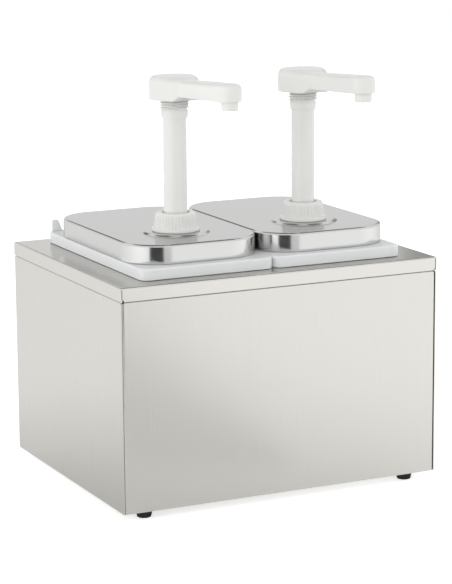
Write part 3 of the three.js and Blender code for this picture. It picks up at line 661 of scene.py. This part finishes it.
def make_base():
    """Tray with its edge turned up, and a drawn collar for each foot's screw."""
    inset = SHEET * 2 + SEAT_GAP * 2
    width, depth = (PANEL_HALF_WIDTH - inset) * 2, PANEL_BACK - PANEL_FRONT - inset * 2
    size = (width, depth, FOLD_RADIUS)
    centre = (0.0, MIDDLE_Y)
    low, top, floor = FOOT_HEIGHT, FOOT_HEIGHT + BASE_FLANGE, FOOT_HEIGHT + SHEET
    fold = 0.9
    rings = [oblong(size, low + fold - rise, inset, centre)
             for inset, rise in reversed(quarter(fold))]
    rings += [oblong(size, top, 0.0, centre), oblong(size, top, SHEET, centre)]
    rings += [oblong(size, floor, SHEET, centre)]
    sunk, radius, height = floor - 0.5, *COLLAR
    collar = turned([
        (0.0, sunk), (radius, sunk), (radius, floor + height), (0.0, floor + height),
    ], 0.4)
    collars = [shifted(collar, x, y) for x in (-FOOT_X, FOOT_X) for y in FOOT_YS]
    shape = joined(skin(rings), *collars)
    make_piece("base_plate_sheet", shape, BASE_STEEL, "housing", "base_plate")


def make_feet():
    top = FOOT_HEIGHT - SEAT_GAP
    recess, depth = FOOT_RECESS
    foot = turned([
        (recess, 0.0), (FOOT_BOTTOM_RADIUS, 0.0, 1.2), (FOOT_TOP_RADIUS, top, 0.5),
        (FOOT_HOLE_RADIUS, top), (FOOT_HOLE_RADIUS, depth), (recess, depth),
    ], 0.25)
    low, high = SCREW_HEAD
    screw = turned([
        (0.0, low), (SCREW_HEAD_RADIUS - 1.0, low), (SCREW_HEAD_RADIUS, low + 1.2),
        (SCREW_HEAD_RADIUS, high), (SCREW_RADIUS, high), (SCREW_RADIUS, SCREW_TOP),
        (0.0, SCREW_TOP),
    ], 0.3)
    places = [(x, y) for y in FOOT_YS for x in (-FOOT_X, FOOT_X)]
    for number, (x, y) in enumerate(places, start=1):
        make_piece(f"rubber_foot_{number}", shifted(foot, x, y), FOOT_RUBBER, "housing",
                   f"foot_{number}")
        make_piece(f"screw_{number}", shifted(screw, x, y), SCREW_STEEL, "housing",
                   f"foot_screw_{number}")


# Tubs and lids

def tub_ear(x, sign):
    """Upright lug at a rear corner of a tub's rim."""
    outer = RIM[0] / 2 - EAR_INSET
    top_width, waist_width, foot_width = EAR_WIDTHS
    outline = soften([
        (outer, -EAR_SINK, 0.1), (outer, EAR_HEIGHT, 2.6), (outer - top_width, EAR_HEIGHT, 2.4),
        (outer - waist_width, 1.8, 2.4), (outer - foot_width, -EAR_SINK, 0.1),
    ], 0.5)
    middle = Vector((outer - 5.0, 4.6))
    half_width = 5.5
    levels = [(0.55, 0.0), (0.18, 0.18), (0.0, 0.6), (0.0, 2.4), (0.18, 2.82), (0.55, 3.0)]
    rings = []
    for inset, depth in levels:
        share = 1 - inset / half_width
        shrunk = [middle + (Vector(point) - middle) * share for point in outline]
        rings.append([(x + sign * px, EAR_BACK_Y - depth, RIM_TOP - EAR_SINK + pz)
                      for px, pz in shrunk])
    return skin(rings)


def make_tub(side, x):
    """One wall from the floor's underside out over the rim and the upstand, and back inside."""
    def ring(size, z, inset=0.0):
        return oblong(size, z, inset, (x, MIDDLE_Y), straights=8)

    def draft(z):
        return BODY_DRAFT * (RIM_TOP - z) / (RIM_TOP - BODY_BOTTOM)

    ledge = RIM_TOP - TUB_WALL
    skirt = (RIM[0] - TUB_WALL * 2, RIM[1] - TUB_WALL * 2, RIM[2] - TUB_WALL)
    rings = []
    for extra, rise in reversed(quarter(BODY_ROUND, 8)):
        z = BODY_BOTTOM + BODY_ROUND - rise
        rings.append(ring(BODY, z, draft(z) + extra))
    rings += [ring(BODY, z, draft(z)) for z in (*BODY_LEVELS, ledge)]
    # The rim's underside, edge and top
    rings += [ring(skirt, ledge), ring(skirt, RIM_BOTTOM + 0.4)]
    rings += [ring(RIM, RIM_BOTTOM, TUB_WALL - 0.4), ring(RIM, RIM_BOTTOM, 0.5)]
    rings += [ring(RIM, RIM_BOTTOM + 0.15, 0.12), ring(RIM, RIM_BOTTOM + 0.5)]
    rings += [ring(RIM, RIM_TOP - RIM_EDGE + rise, inset) for inset, rise in quarter(RIM_EDGE)]
    # The upstand under the lid, outside and inside
    foot = ((0.0, -0.9), (0.25, -0.3), (0.9, 0.0))
    rings += [ring(UPSTAND, RIM_TOP + rise, inset) for rise, inset in foot]
    rings += [ring(UPSTAND, UPSTAND_TOP - UPSTAND_EDGE + rise, inset)
              for inset, rise in quarter(UPSTAND_EDGE, 4)]
    rings += [ring(UPSTAND, UPSTAND_TOP - inset, TUB_WALL - 0.5 + inset) for inset in (0.0, 0.5)]
    rings += [ring(UPSTAND, RIM_TOP + 0.5, TUB_WALL), ring(UPSTAND, RIM_TOP, TUB_WALL + 0.5)]
    # The inside of the body
    bent = RIM_TOP - 0.7
    rings += [ring(BODY, RIM_TOP, TUB_WALL - 0.6), ring(BODY, bent, TUB_WALL + draft(bent))]
    rings += [ring(BODY, z, TUB_WALL + draft(z)) for z in reversed(BODY_LEVELS)]
    floor, inner = BODY_BOTTOM + TUB_WALL, BODY_ROUND - TUB_WALL
    for extra, rise in quarter(inner, 8):
        z = floor + inner - rise
        rings.append(ring(BODY, z, TUB_WALL + draft(z) + extra))
    shape = joined(skin(rings), tub_ear(x, -1), tub_ear(x, 1))
    make_piece(f"{side}_tub_moulding", shape, TUB_PLASTIC, f"{side}_tub_body", f"{side}_tub")


def make_lid(side, x):
    axis = Vector((x, PUMP_Y))

    def ring(z, inset):
        return oblong(LID, z, inset, (x, MIDDLE_Y), steps=14, straights=14)

    guide = ring(0.0, LID_EDGE)

    def circle(radius, z):
        """Circle about the pump's axis with a point towards each one of the lid's edge."""
        out = []
        for px, py, _ in guide:
            direction = (Vector((px, py)) - axis).normalized() * radius
            out.append((axis.x + direction.x, axis.y + direction.y, z))
        return out

    inside = LID_EDGE - LID_SHEET
    under = LID_TOP - LID_SHEET
    hole = NECK_RADIUS + RUNNING_GAP
    rings = [ring(LID_BOTTOM, LID_SHEET - 0.2), ring(LID_BOTTOM, 0.2), ring(LID_BOTTOM + 0.2, 0.0)]
    rings += [ring(LID_TOP - LID_EDGE + rise, inset) for inset, rise in quarter(LID_EDGE, 8)]
    # The raised seat: its slope, its flat top with the hole, and its underside
    rings += [circle(reach, z) for reach, z in (
        (SEAT_RADIUS + 1.2, LID_TOP), (SEAT_RADIUS + 0.6, LID_TOP + 0.12),
        (SEAT_RADIUS + 0.1, LID_TOP + 0.34), (SEAT_RADIUS - 1.5, SEAT_TOP - 0.34),
        (SEAT_RADIUS - 2.0, SEAT_TOP - 0.12), (SEAT_RADIUS - 2.6, SEAT_TOP),
        (hole + 0.2, SEAT_TOP), (hole, SEAT_TOP - 0.2), (hole, SEAT_TOP - LID_SHEET),
        (SEAT_RADIUS - 2.7, SEAT_TOP - LID_SHEET), (SEAT_RADIUS - 0.3, under + 0.12),
        (SEAT_RADIUS + 0.5, under),
    )]
    rings += [ring(under - inside + rise, LID_SHEET + inset)
              for inset, rise in reversed(quarter(inside, 6))]
    rings += [ring(LID_BOTTOM + 0.2, LID_SHEET)]
    make_piece(f"{side}_lid_drawn", skin(rings, looped=True), LID_STEEL, f"{side}_lid_body",
               f"{side}_lid")


# Pump pieces, built round the Z axis and then moved to the pump's place

def ribbed(radius, depth, z):
    """Circle with the closure's ribs cut to a depth."""
    count = RIBS * RIB_POINTS
    out = []
    for k in range(count):
        turn = math.tau * k / count
        swell = (1 + math.cos(RIBS * turn)) / 2
        reach = radius - depth * (1 - swell ** 1.4)
        out.append((reach * math.cos(turn), reach * math.sin(turn), z))
    return out


def closure_shape():
    low, high = CLOSURE_BOTTOM, CLOSURE_TOP
    bore, ceiling = NECK_RADIUS + RUNNING_GAP, CLOSURE_TOP - CLOSURE_WALL
    sections = [
        # Mouth and flange
        (bore, 0.0, low + 0.4), (NECK_RADIUS + 0.8, 0.0, low - 0.2),
        (22.3, 0.0, low - 0.2), (22.6, 0.0, low + 0.1), (22.6, 0.0, low + 1.9),
        # Foot of the ribs, and the ribs
        (22.4, 0.0, low + 2.35), (21.6, 0.1, low + 2.7), (20.8, 0.35, low + 2.95),
        (20.35, RIB_DEPTH, low + 3.7), (19.9, RIB_DEPTH, low + 8.5),
        (19.4, RIB_DEPTH, high - 3.3),
    ]
    fading = (0.55, 0.5, 0.35, 0.2, 0.05, 0.0, 0.0)
    for (inset, rise), depth in zip(quarter(CLOSURE_EDGE, 6), fading):
        sections.append((19.35 - inset, depth, high - CLOSURE_EDGE + rise))
    sections += [
        # Opening for the stem, and the inside
        (13.7, 0.0, high), (13.25, 0.0, high - 0.2), (13.1, 0.0, high - 0.6),
        (13.2, 0.0, ceiling), (NECK_RADIUS, 0.0, ceiling), (bore, 0.0, ceiling - 0.4),
    ]
    return skin([ribbed(*section) for section in sections], looped=True)


def stem_shape():
    top = HEAD_Z + STEM_REACH
    chamber_floor = top - OUTLET_DEPTH
    shoulder = PISTON_TOP + RUNNING_GAP
    foot, collar = COLLAR_RADII
    rod = turned([
        (STEM_BORE, PISTON_Z), (STEM_SPIGOT, PISTON_Z), (STEM_SPIGOT, shoulder),
        (STEM_RADIUS, shoulder), (STEM_RADIUS, COLLAR_Z, 0.1), (foot, COLLAR_Z, 0.3),
        (collar, THREAD_Z, 0.25), (THREAD_ROOT, THREAD_Z, 0.1), (THREAD_ROOT, HEAD_Z),
        (STEM_RADIUS, HEAD_Z), (STEM_RADIUS, top), (CHAMBER_RADIUS, top),
        (CHAMBER_RADIUS, chamber_floor), (VALVE_BORE, chamber_floor),
        (VALVE_BORE, chamber_floor - 2.0), (STEM_BORE, chamber_floor - 4.0),
    ], 0.3)
    crest = THREAD_DEPTH
    ridge = [(-0.6, -0.95), (1.15, -0.45), (crest, -0.2), (crest, 0.2), (1.15, 0.45), (-0.6, 0.95)]
    thread = helix(THREAD_RADIUS - THREAD_DEPTH, THREAD_Z + 1.1, THREAD_TURNS,
                   lambda turn: THREAD_PITCH * turn, ridge, taper=0.35)
    return joined(rod, thread)


def spring_shape():
    bottom = CAGE_TOP + SEAT_GAP + SPRING_WIRE
    length = PISTON_Z - SEAT_GAP - SPRING_WIRE - bottom

    def rise(turn):
        left = SPRING_TURNS - turn
        if turn < 1:
            return SPRING_END_RISE * turn
        if left < 1:
            return length - SPRING_END_RISE * left
        share = (turn - 1) / (SPRING_TURNS - 2)
        return SPRING_END_RISE + (length - SPRING_END_RISE * 2) * share

    turns = [math.tau * k / 8 for k in range(8)]
    wire = [(SPRING_WIRE * math.cos(turn), SPRING_WIRE * math.sin(turn)) for turn in turns]
    return helix(SPRING_RADIUS, bottom, SPRING_TURNS, rise, wire, taper=0)


def ball_shape(z):
    turns = [math.pi * k / BALL_STEPS for k in range(BALL_STEPS + 1)]
    profile = [(BALL_RADIUS * math.sin(turn), z - BALL_RADIUS * math.cos(turn)) for turn in turns]
    profile[0] = (0, z - BALL_RADIUS)
    return turned(profile, sides=BALL_STEPS * 2)


# Head: a push pad that flows into a rising spout

def ease(start, end, value):
    share = max(0.0, min(1.0, (value - start) / (end - start)))
    return share * share * (3 - 2 * share)


def between(first, second, share):
    return first + (second - first) * share


def head_top(reach, x):
    arm = between(*ARM_TOP, (reach - STEP[0]) / (NOZZLE_REACH - STEP[0]))
    return between(PAD_TOP, arm, ease(*STEP, math.hypot(max(reach, 0.0), x)))


def head_bottom(reach):
    arm = between(*ARM_BOTTOM, (reach - CUT[1]) / (NOZZLE_REACH - CUT[1]))
    return between(0.0, arm, ease(*CUT, reach))


def head_outline():
    """Right half of the head seen from above, as (x, reach) points from the back to the tip."""
    corner_steps, flare_steps, tip_steps = 18, 26, 14
    flat = PAD_HALF - PAD_CORNER
    points = [(flat * k / 2, -PAD_BACK) for k in range(2)]
    for k in range(corner_steps + 1):
        turn = math.tau / 4 * k / corner_steps
        points.append((flat + PAD_CORNER * math.sin(turn), FLARE[0] - PAD_CORNER * math.cos(turn)))
    for k in range(1, flare_steps + 1):
        reach = between(*FLARE, k / flare_steps)
        points.append((between(PAD_HALF, ARM_HALF, ease(*FLARE, reach)), reach))
    middle = TIP_REACH - ARM_HALF
    points += [(ARM_HALF, between(FLARE[1], middle, k / tip_steps)) for k in range(1, tip_steps)]
    for k in range(tip_steps + 1):
        turn = math.tau / 4 * k / tip_steps
        points.append((ARM_HALF * math.cos(turn), middle + ARM_HALF * math.sin(turn)))
    points[-1] = (0.0, TIP_REACH)
    return points


def head_shape():
    half = head_outline()
    loop = half + [(-x, reach) for x, reach in reversed(half[1:-1])]
    count = len(loop)
    normals = []
    for k in range(count):
        along = Vector(loop[(k + 1) % count]) - Vector(loop[k - 1])
        normals.append(Vector((along.y, -along.x)).normalized())

    def ring(inset, level):
        out = []
        for (x, reach), normal in zip(loop, normals):
            px, pr = x - normal.x * inset, reach - normal.y * inset
            out.append((px, -pr, level(px, pr)))
        return out

    def low(x, reach):
        return head_bottom(reach) + HEAD_LIP

    def high(x, reach):
        return head_top(reach, x) - HEAD_EDGE

    rings = [ring(HEAD_LIP, lambda x, r: head_bottom(r))]
    rings += [ring(inset, lambda x, r, rise=rise: low(x, r) - rise)
              for inset, rise in reversed(quarter(HEAD_LIP, 3))][1:]
    rings += [ring(0.0, lambda x, r, share=share: between(low(x, r), high(x, r), share))
              for share in (0.25, 0.5, 0.75)]
    rings += [ring(inset, lambda x, r, rise=rise: high(x, r) + rise)
              for inset, rise in quarter(HEAD_EDGE, 9)]
    points, faces = skin(rings)
    faces = faces[:-2]
    size = len(half)
    columns = 10

    def close(start, level, flip):
        """Fills the ring that starts at a point with rows across the head."""
        new = []
        previous = [start]
        for k in range(1, size - 1):
            right, left = points[start + k], points[start + count - k]
            row = [start + k]
            for column in range(1, columns):
                x = between(right[0], left[0], column / columns)
                points.append((x, right[1], level(x, -right[1])))
                row.append(len(points) - 1)
            row.append(start + count - k)
            for c in range(columns):
                if len(previous) == 1:
                    new.append((previous[0], row[c], row[c + 1]))
                else:
                    new.append((previous[c], row[c], row[c + 1], previous[c + 1]))
            previous = row
        new += [(previous[c], start + size - 1, previous[c + 1]) for c in range(columns)]
        faces.extend(tuple(reversed(face)) if flip else face for face in new)

    close((len(rings) - 1) * count, lambda x, r: head_top(r, x), False)
    close(0, lambda x, r: head_bottom(r), True)
    return points, faces


def make_head(side, x):
    body, node = f"{side}_spout_body", f"{side}_head"
    shape = shifted(head_shape(), x, PUMP_Y, HEAD_Z)
    head = make_piece(f"{side}_head_moulding", shape, PUMP_PLASTIC, body, node)
    size = ((PAD_HALF - PAD_WALL) * 2, (PAD_BACK - PAD_WALL) * 2, PAD_CORNER - PAD_WALL)
    levels = (HEAD_Z - CUTTER_REACH, HEAD_Z + PAD_HOLLOW)
    hollow = skin([oblong(size, z, centre=(x, PUMP_Y)) for z in levels])
    (radius, depth), below = STEM_SOCKET, HEAD_Z - CUTTER_REACH - 0.5
    socket = turned([
        (0.0, below), (radius, below), (radius, HEAD_Z + depth), (0.0, HEAD_Z + depth),
    ])
    outlet = turned([
        (0.0, HEAD_Z), (OUTLET_RADIUS, HEAD_Z), (OUTLET_RADIUS, HEAD_Z + 16.0),
        (0.0, HEAD_Z + 16.0),
    ])
    carve(head, hollow, shifted(socket, x, PUMP_Y), shifted(outlet, x, PUMP_Y - NOZZLE_REACH))
    low, high = HEAD_Z + 0.2, HEAD_Z + BOSS[1]
    boss = turned([(radius, low), (BOSS[0], low), (BOSS[0], high), (radius, high)], 0.3)
    make_piece(f"{side}_head_boss", shifted(boss, x, PUMP_Y), PUMP_PLASTIC, body, node)


def make_pump(side, x):
    lid_body, spout_body = f"{side}_lid_body", f"{side}_spout_body"

    def put(name, shape, finish, body, node, y=PUMP_Y):
        return make_piece(f"{side}_{name}", shifted(shape, x, y), finish, body, f"{side}_{node}")

    low = NECK_FLANGE_TOP - NECK_FLANGE
    put("neck_moulding", turned([
        (NECK_BORE, low), (NECK_FLANGE_RADIUS, low), (NECK_FLANGE_RADIUS, NECK_FLANGE_TOP),
        (NECK_RADIUS, NECK_FLANGE_TOP, 0.1), (NECK_RADIUS, NECK_TOP), (NECK_BORE, NECK_TOP),
    ], 0.4), PUMP_PLASTIC, lid_body, "neck")
    low, high = NECK_TOP + SEAT_GAP, NECK_TOP + SEAT_GAP + GASKET
    put("gasket_ring", turned([
        (NECK_BORE, low), (NECK_RADIUS, low), (NECK_RADIUS, high), (NECK_BORE, high),
    ], 0.2), GASKET_FOAM, lid_body, "gasket")
    put("closure_cap", closure_shape(), PUMP_PLASTIC, lid_body, "closure")

    bell, flange = BELL_BORE + BELL_WALL, BARREL_TOP - BARREL_FLANGE
    low = SOCKET_TOP - SOCKET_DEPTH
    put("barrel_moulding", turned([
        (SOCKET_BORE, low), (SOCKET_RADIUS, low), (SOCKET_RADIUS, BARREL_FLOOR - 3.6, 1.2),
        (BARREL_RADIUS, BARREL_FLOOR, 1.2), (BARREL_RADIUS, BELL_FLOOR - BELL_TAPER),
        (bell, BELL_FLOOR), (bell, flange, 0.2), (NECK_RADIUS, flange), (NECK_RADIUS, BARREL_TOP),
        (BELL_BORE, BARREL_TOP), (BELL_BORE, BELL_FLOOR, 0.1), (BARREL_BORE, BELL_FLOOR),
        (BARREL_BORE, BARREL_FLOOR, 0.1), (CHAMBER_RADIUS, BARREL_FLOOR),
        (CHAMBER_RADIUS, INLET_SEAT), (VALVE_BORE, INLET_SEAT), (VALVE_BORE, SOCKET_TOP),
        (SOCKET_BORE, SOCKET_TOP),
    ], 0.5), CLEAR_PLASTIC, lid_body, "barrel")
    (inner, outer, reach), low = GUIDE, BELL_FLOOR + SEAT_GAP
    put("guide_ring", turned([
        (inner, low), (outer, low), (outer, BELL_FLOOR + reach), (inner, BELL_FLOOR + reach),
    ], 0.4), PUMP_PLASTIC, lid_body, "guide")

    cage_ring = turned([
        (CHAMBER_RADIUS, CAGE_Z), (PISTON_RADIUS, CAGE_Z), (PISTON_RADIUS, CAGE_TOP),
        (CHAMBER_RADIUS, CAGE_TOP),
    ], 0.3)
    long, wide = CAGE_BAR
    bars = [brick((-long, -wide, CAGE_Z + 0.1), (long, wide, CAGE_TOP - 0.1)),
            brick((-wide, -long, CAGE_Z + 0.15), (wide, long, CAGE_TOP - 0.15))]
    put("cage_moulding", joined(cage_ring, *bars), PUMP_PLASTIC, lid_body, "cage")

    high = SOCKET_TOP - SEAT_GAP
    tube = put("dip_tube_cut", turned([
        (DIP_BORE, DIP_Z), (DIP_RADIUS, DIP_Z), (DIP_RADIUS, high), (DIP_BORE, high),
    ], 0.2), CLEAR_PLASTIC, lid_body, "dip_tube")
    left, right, low, high = x - 12, x + 12, DIP_Z - 1, DIP_Z + DIP_CUT
    front, back = PUMP_Y - DIP_CUT, PUMP_Y + DIP_CUT
    wedge = ([(left, front, low), (right, front, low), (right, PUMP_Y, high),
              (left, PUMP_Y, high), (left, back, low), (right, back, low)],
             [(0, 1, 2, 3), (3, 2, 5, 4), (0, 4, 5, 1), (0, 3, 4), (1, 5, 2)])
    carve(tube, wedge)

    spring = put("return_spring", spring_shape(), WIRE_STEEL, lid_body, "spring")
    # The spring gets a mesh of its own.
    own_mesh(spring)
    put("piston_moulding", turned([
        (PISTON_BORE, PISTON_Z), (PISTON_RADIUS, PISTON_Z), (PISTON_WAIST, PISTON_Z + PISTON_LIP),
        (PISTON_WAIST, PISTON_TOP - PISTON_LIP), (PISTON_RADIUS, PISTON_TOP),
        (PISTON_BORE, PISTON_TOP),
    ], 0.3), CLEAR_PLASTIC, f"{side}_plunger_body", "piston")
    put("stem_moulding", stem_shape(), PUMP_PLASTIC, spout_body, "stem")
    put("inlet_ball_turned", ball_shape(INLET_BALL_Z), WIRE_STEEL, f"{side}_inlet_ball_body",
        "inlet_ball")
    put("outlet_ball_turned", ball_shape(OUTLET_BALL_Z), WIRE_STEEL, f"{side}_outlet_ball_body",
        "outlet_ball")
    make_head(side, x)
    (bore, spigot, mouth), shoulder = NOZZLE_RADII, HEAD_Z + ARM_BOTTOM[1] + 0.5
    put("nozzle_insert", turned([
        (bore, NOZZLE_Z), (mouth, NOZZLE_Z, 0.8), (mouth, shoulder), (spigot, shoulder),
        (spigot, NOZZLE_Z + 12.0), (bore, NOZZLE_Z + 12.0),
    ], 0.4), PUMP_PLASTIC, spout_body, "nozzle", PUMP_Y - NOZZLE_REACH)


make_cover()
make_cross_panel("front_panel", True)
make_cross_panel("back_panel", False)
make_side_panel("left_panel", -1)
make_side_panel("right_panel", 1)
make_base()
make_feet()
for side_name, station in (("left", -STATION_X), ("right", STATION_X)):
    make_tub(side_name, station)
    make_lid(side_name, station)
    make_pump(side_name, station)


# Stage and light, in metres

WHITE = (1.0, 1.0, 1.0, 1.0)
SKY = (1.05, 0.55)  # strength of the world at the horizon and overhead
FLOOR_HALF = 4.0
FLOOR_COLOUR = (0.86, 0.86, 0.86, 1.0)
FLOOR_GLOW = 0.64
PAINTED_SHADE_MIDDLE = (-0.2, -0.2, 0.0)  # round here the floor glows less in reflections, a painted shade round the object
PAINTED_SHADE_SPAN = (0.01, 0.6)
PAINTED_SHADE_SHARES = (0.044, 0.63)
CARD_Z = 0.001  # of a card that lies on the floor
LAMP_AIM = (0, 0, 0.2)


def white_if_seen(tree, plain, white):
    """Mixes two shaders: the white one is for the camera, and for gloss and glass."""
    path = add_node(tree, "LightPath", {})
    seen = path.outputs["Is Camera Ray"]
    for kind in ("Is Glossy Ray", "Is Transmission Ray"):
        either = add_node(tree, "Math", {0: seen, 1: path.outputs[kind]}, operation="MAXIMUM")
        seen = either.outputs[0]
    return add_node(tree, "MixShader", {0: seen, 1: plain, 2: white}).outputs[0]


def make_world():
    world = bpy.data.worlds.new("studio")
    scene.world = world
    world.use_nodes = True
    tree = world.node_tree
    place = add_node(tree, "TexCoord", {})
    split = add_node(tree, "SeparateXYZ", {0: place.outputs["Generated"]})
    fade = add_node(tree, "MapRange", {
        "Value": split.outputs["Z"], "To Min": SKY[0], "To Max": SKY[1]})
    plain = tree.nodes["Background"]
    feed(tree, plain, {"Color": WHITE, "Strength": fade.outputs["Result"]})
    white = add_node(tree, "Background", {"Color": WHITE, "Strength": 1.0})
    seen = white_if_seen(tree, plain.outputs[0], white.outputs[0])
    tree.links.new(seen, tree.nodes["World Output"].inputs["Surface"])


def make_floor():
    """White floor that keeps the object's shadow. Reflections see it darker near the object,
    partly from that shadow and partly from a painted shade where its glow is turned down.
    """
    corners = [(-1, -1), (1, -1), (1, 1), (-1, 1)]
    floor = add_mesh("floor", [(x * FLOOR_HALF, y * FLOOR_HALF, 0) for x, y in corners],
                     [(0, 1, 2, 3)])
    material = bpy.data.materials.new("floor_white")
    material.use_nodes = True
    tree = material.node_tree
    surface = tree.nodes["Principled BSDF"]
    feed(tree, surface, {"Base Color": FLOOR_COLOUR, "Roughness": 0.9})
    place = add_node(tree, "TexCoord", {})
    # Painted shade: for reflections the floor's glow is turned down round the object, darkest near
    # it.
    distance = add_node(tree, "VectorMath", {
        0: place.outputs["Object"], 1: PAINTED_SHADE_MIDDLE}, operation="DISTANCE")
    near = add_node(tree, "MapRange", {
        "Value": distance.outputs["Value"], "From Min": PAINTED_SHADE_SPAN[0], "From Max": PAINTED_SHADE_SPAN[1],
        "To Min": PAINTED_SHADE_SHARES[0], "To Max": PAINTED_SHADE_SHARES[1]})
    path = add_node(tree, "LightPath", {})
    share = add_node(tree, "Math", {
        0: near.outputs["Result"], 1: path.outputs["Is Camera Ray"]}, operation="MAXIMUM")
    level = add_node(tree, "Math", {0: share.outputs[0], 1: FLOOR_GLOW}, operation="MULTIPLY")
    glow = add_node(tree, "Emission", {"Strength": level.outputs[0]})
    both = add_node(tree, "AddShader", {0: surface.outputs[0], 1: glow.outputs[0]})
    seen = white_if_seen(tree, surface.outputs[0], both.outputs[0])
    tree.links.new(seen, tree.nodes["Material Output"].inputs["Surface"])
    floor.data.materials.append(material)


def make_painted_reflection(name, corners, level):
    """Grey card that glows and that only reflections see: a painted reflection, which lights
    nothing.
    """
    card = add_mesh(name, corners, [tuple(range(len(corners)))])
    material = bpy.data.materials.new(name)
    material.use_nodes = True
    tree = material.node_tree
    tree.nodes.remove(tree.nodes["Principled BSDF"])
    grey = add_node(tree, "Emission", {"Strength": level})
    tree.links.new(grey.outputs[0], tree.nodes["Material Output"].inputs["Surface"])
    card.data.materials.append(material)
    card.visible_camera = card.visible_diffuse = False
    card.visible_transmission = card.visible_shadow = False


def heading(turn, reach, z):
    """Point at a compass heading in degrees from +Y towards +X."""
    angle = math.radians(turn)
    return reach * math.sin(angle), reach * math.cos(angle), z


def upright_painted_reflection(name, turns, reach, heights, level):
    """Standing painted-reflection card between two headings, at one distance from the origin."""
    (first, last), (low, high) = turns, heights
    make_painted_reflection(name, [heading(first, reach, low), heading(last, reach, low),
                     heading(last, reach, high), heading(first, reach, high)], level)


def make_painted_reflections():
    # Painted reflections: grey glowing cards that darken what glossy surfaces mirror, such as the
    # dark lines along folds and edges and the dark bands on the lids' corners.
    make_painted_reflection("ceiling_painted_reflection", [heading(45 * k, 1.75, 2.2) for k in range(8)], 0.22)
    upright_painted_reflection("back_painted_reflection", (338, 370), 1.6, (0.84, 1.3), 0.15)
    upright_painted_reflection("band_painted_reflection", (193.5, 229), 0.9, (0.0, 0.35), 0.03)
    upright_painted_reflection("right_painted_reflection", (35.5, 55), 1.8, (0.3, 1.1), 0.42)
    places = ((163, 0.22), (171, 1.7), (180, 1.7), (196, 1.7), (196, 0.3))
    make_painted_reflection("front_painted_reflection", [heading(turn, reach, CARD_Z) for turn, reach in places], 0.7)


def make_light(name, place, size, power):
    data = bpy.data.lights.new(name, "AREA")
    data.energy = power
    data.size = size
    lamp = bpy.data.objects.new(name, data)
    scene.collection.objects.link(lamp)
    lamp.location = place
    lamp.rotation_mode = "QUATERNION"
    lamp.rotation_quaternion = (Vector(LAMP_AIM) - Vector(place)).to_track_quat("-Z", "Y")
    lamp.visible_glossy = False


# Camera, fitted to the photo

CAMERA_PLACE = (-949.58, -1946.83, 618.88)
CAMERA_TURNS = (25.905, 11.479, 0.3965)  # yaw, pitch down and roll in degrees
FOCAL_PIXELS = 2288.3
PICTURE_HEIGHT = 584  # in pixels; the sensor's width spans the picture's longer side
SENSOR = 36.0


def make_camera():
    yaw, pitch, roll = (math.radians(turn) for turn in CAMERA_TURNS)
    forward = Vector((math.sin(yaw) * math.cos(pitch), math.cos(yaw) * math.cos(pitch),
                      -math.sin(pitch)))
    right = Vector((math.cos(yaw), -math.sin(yaw), 0.0))
    down = forward.cross(right)
    turned_right = right * math.cos(roll) + down * math.sin(roll)
    turned_down = down * math.cos(roll) - right * math.sin(roll)
    data = bpy.data.cameras.new("camera")
    data.sensor_width = SENSOR
    data.lens = SENSOR * FOCAL_PIXELS / PICTURE_HEIGHT
    data.clip_start, data.clip_end = 0.05, 50.0
    camera = bpy.data.objects.new("camera", data)
    scene.collection.objects.link(camera)
    turn = Matrix((turned_right, -turned_down, -forward)).transposed()
    camera.matrix_world = Matrix.Translation(Vector(CAMERA_PLACE) * MM) @ turn.to_4x4()
    scene.camera = camera


make_world()
make_floor()
make_painted_reflections()
make_light("right_softbox", (1.9, -1.0, 1.1), 1.2, 9.0)
make_light("left_softbox", (-2.4, -0.6, 0.7), 1.4, 15.0)
make_camera()
scene.view_settings.view_transform = "Standard"
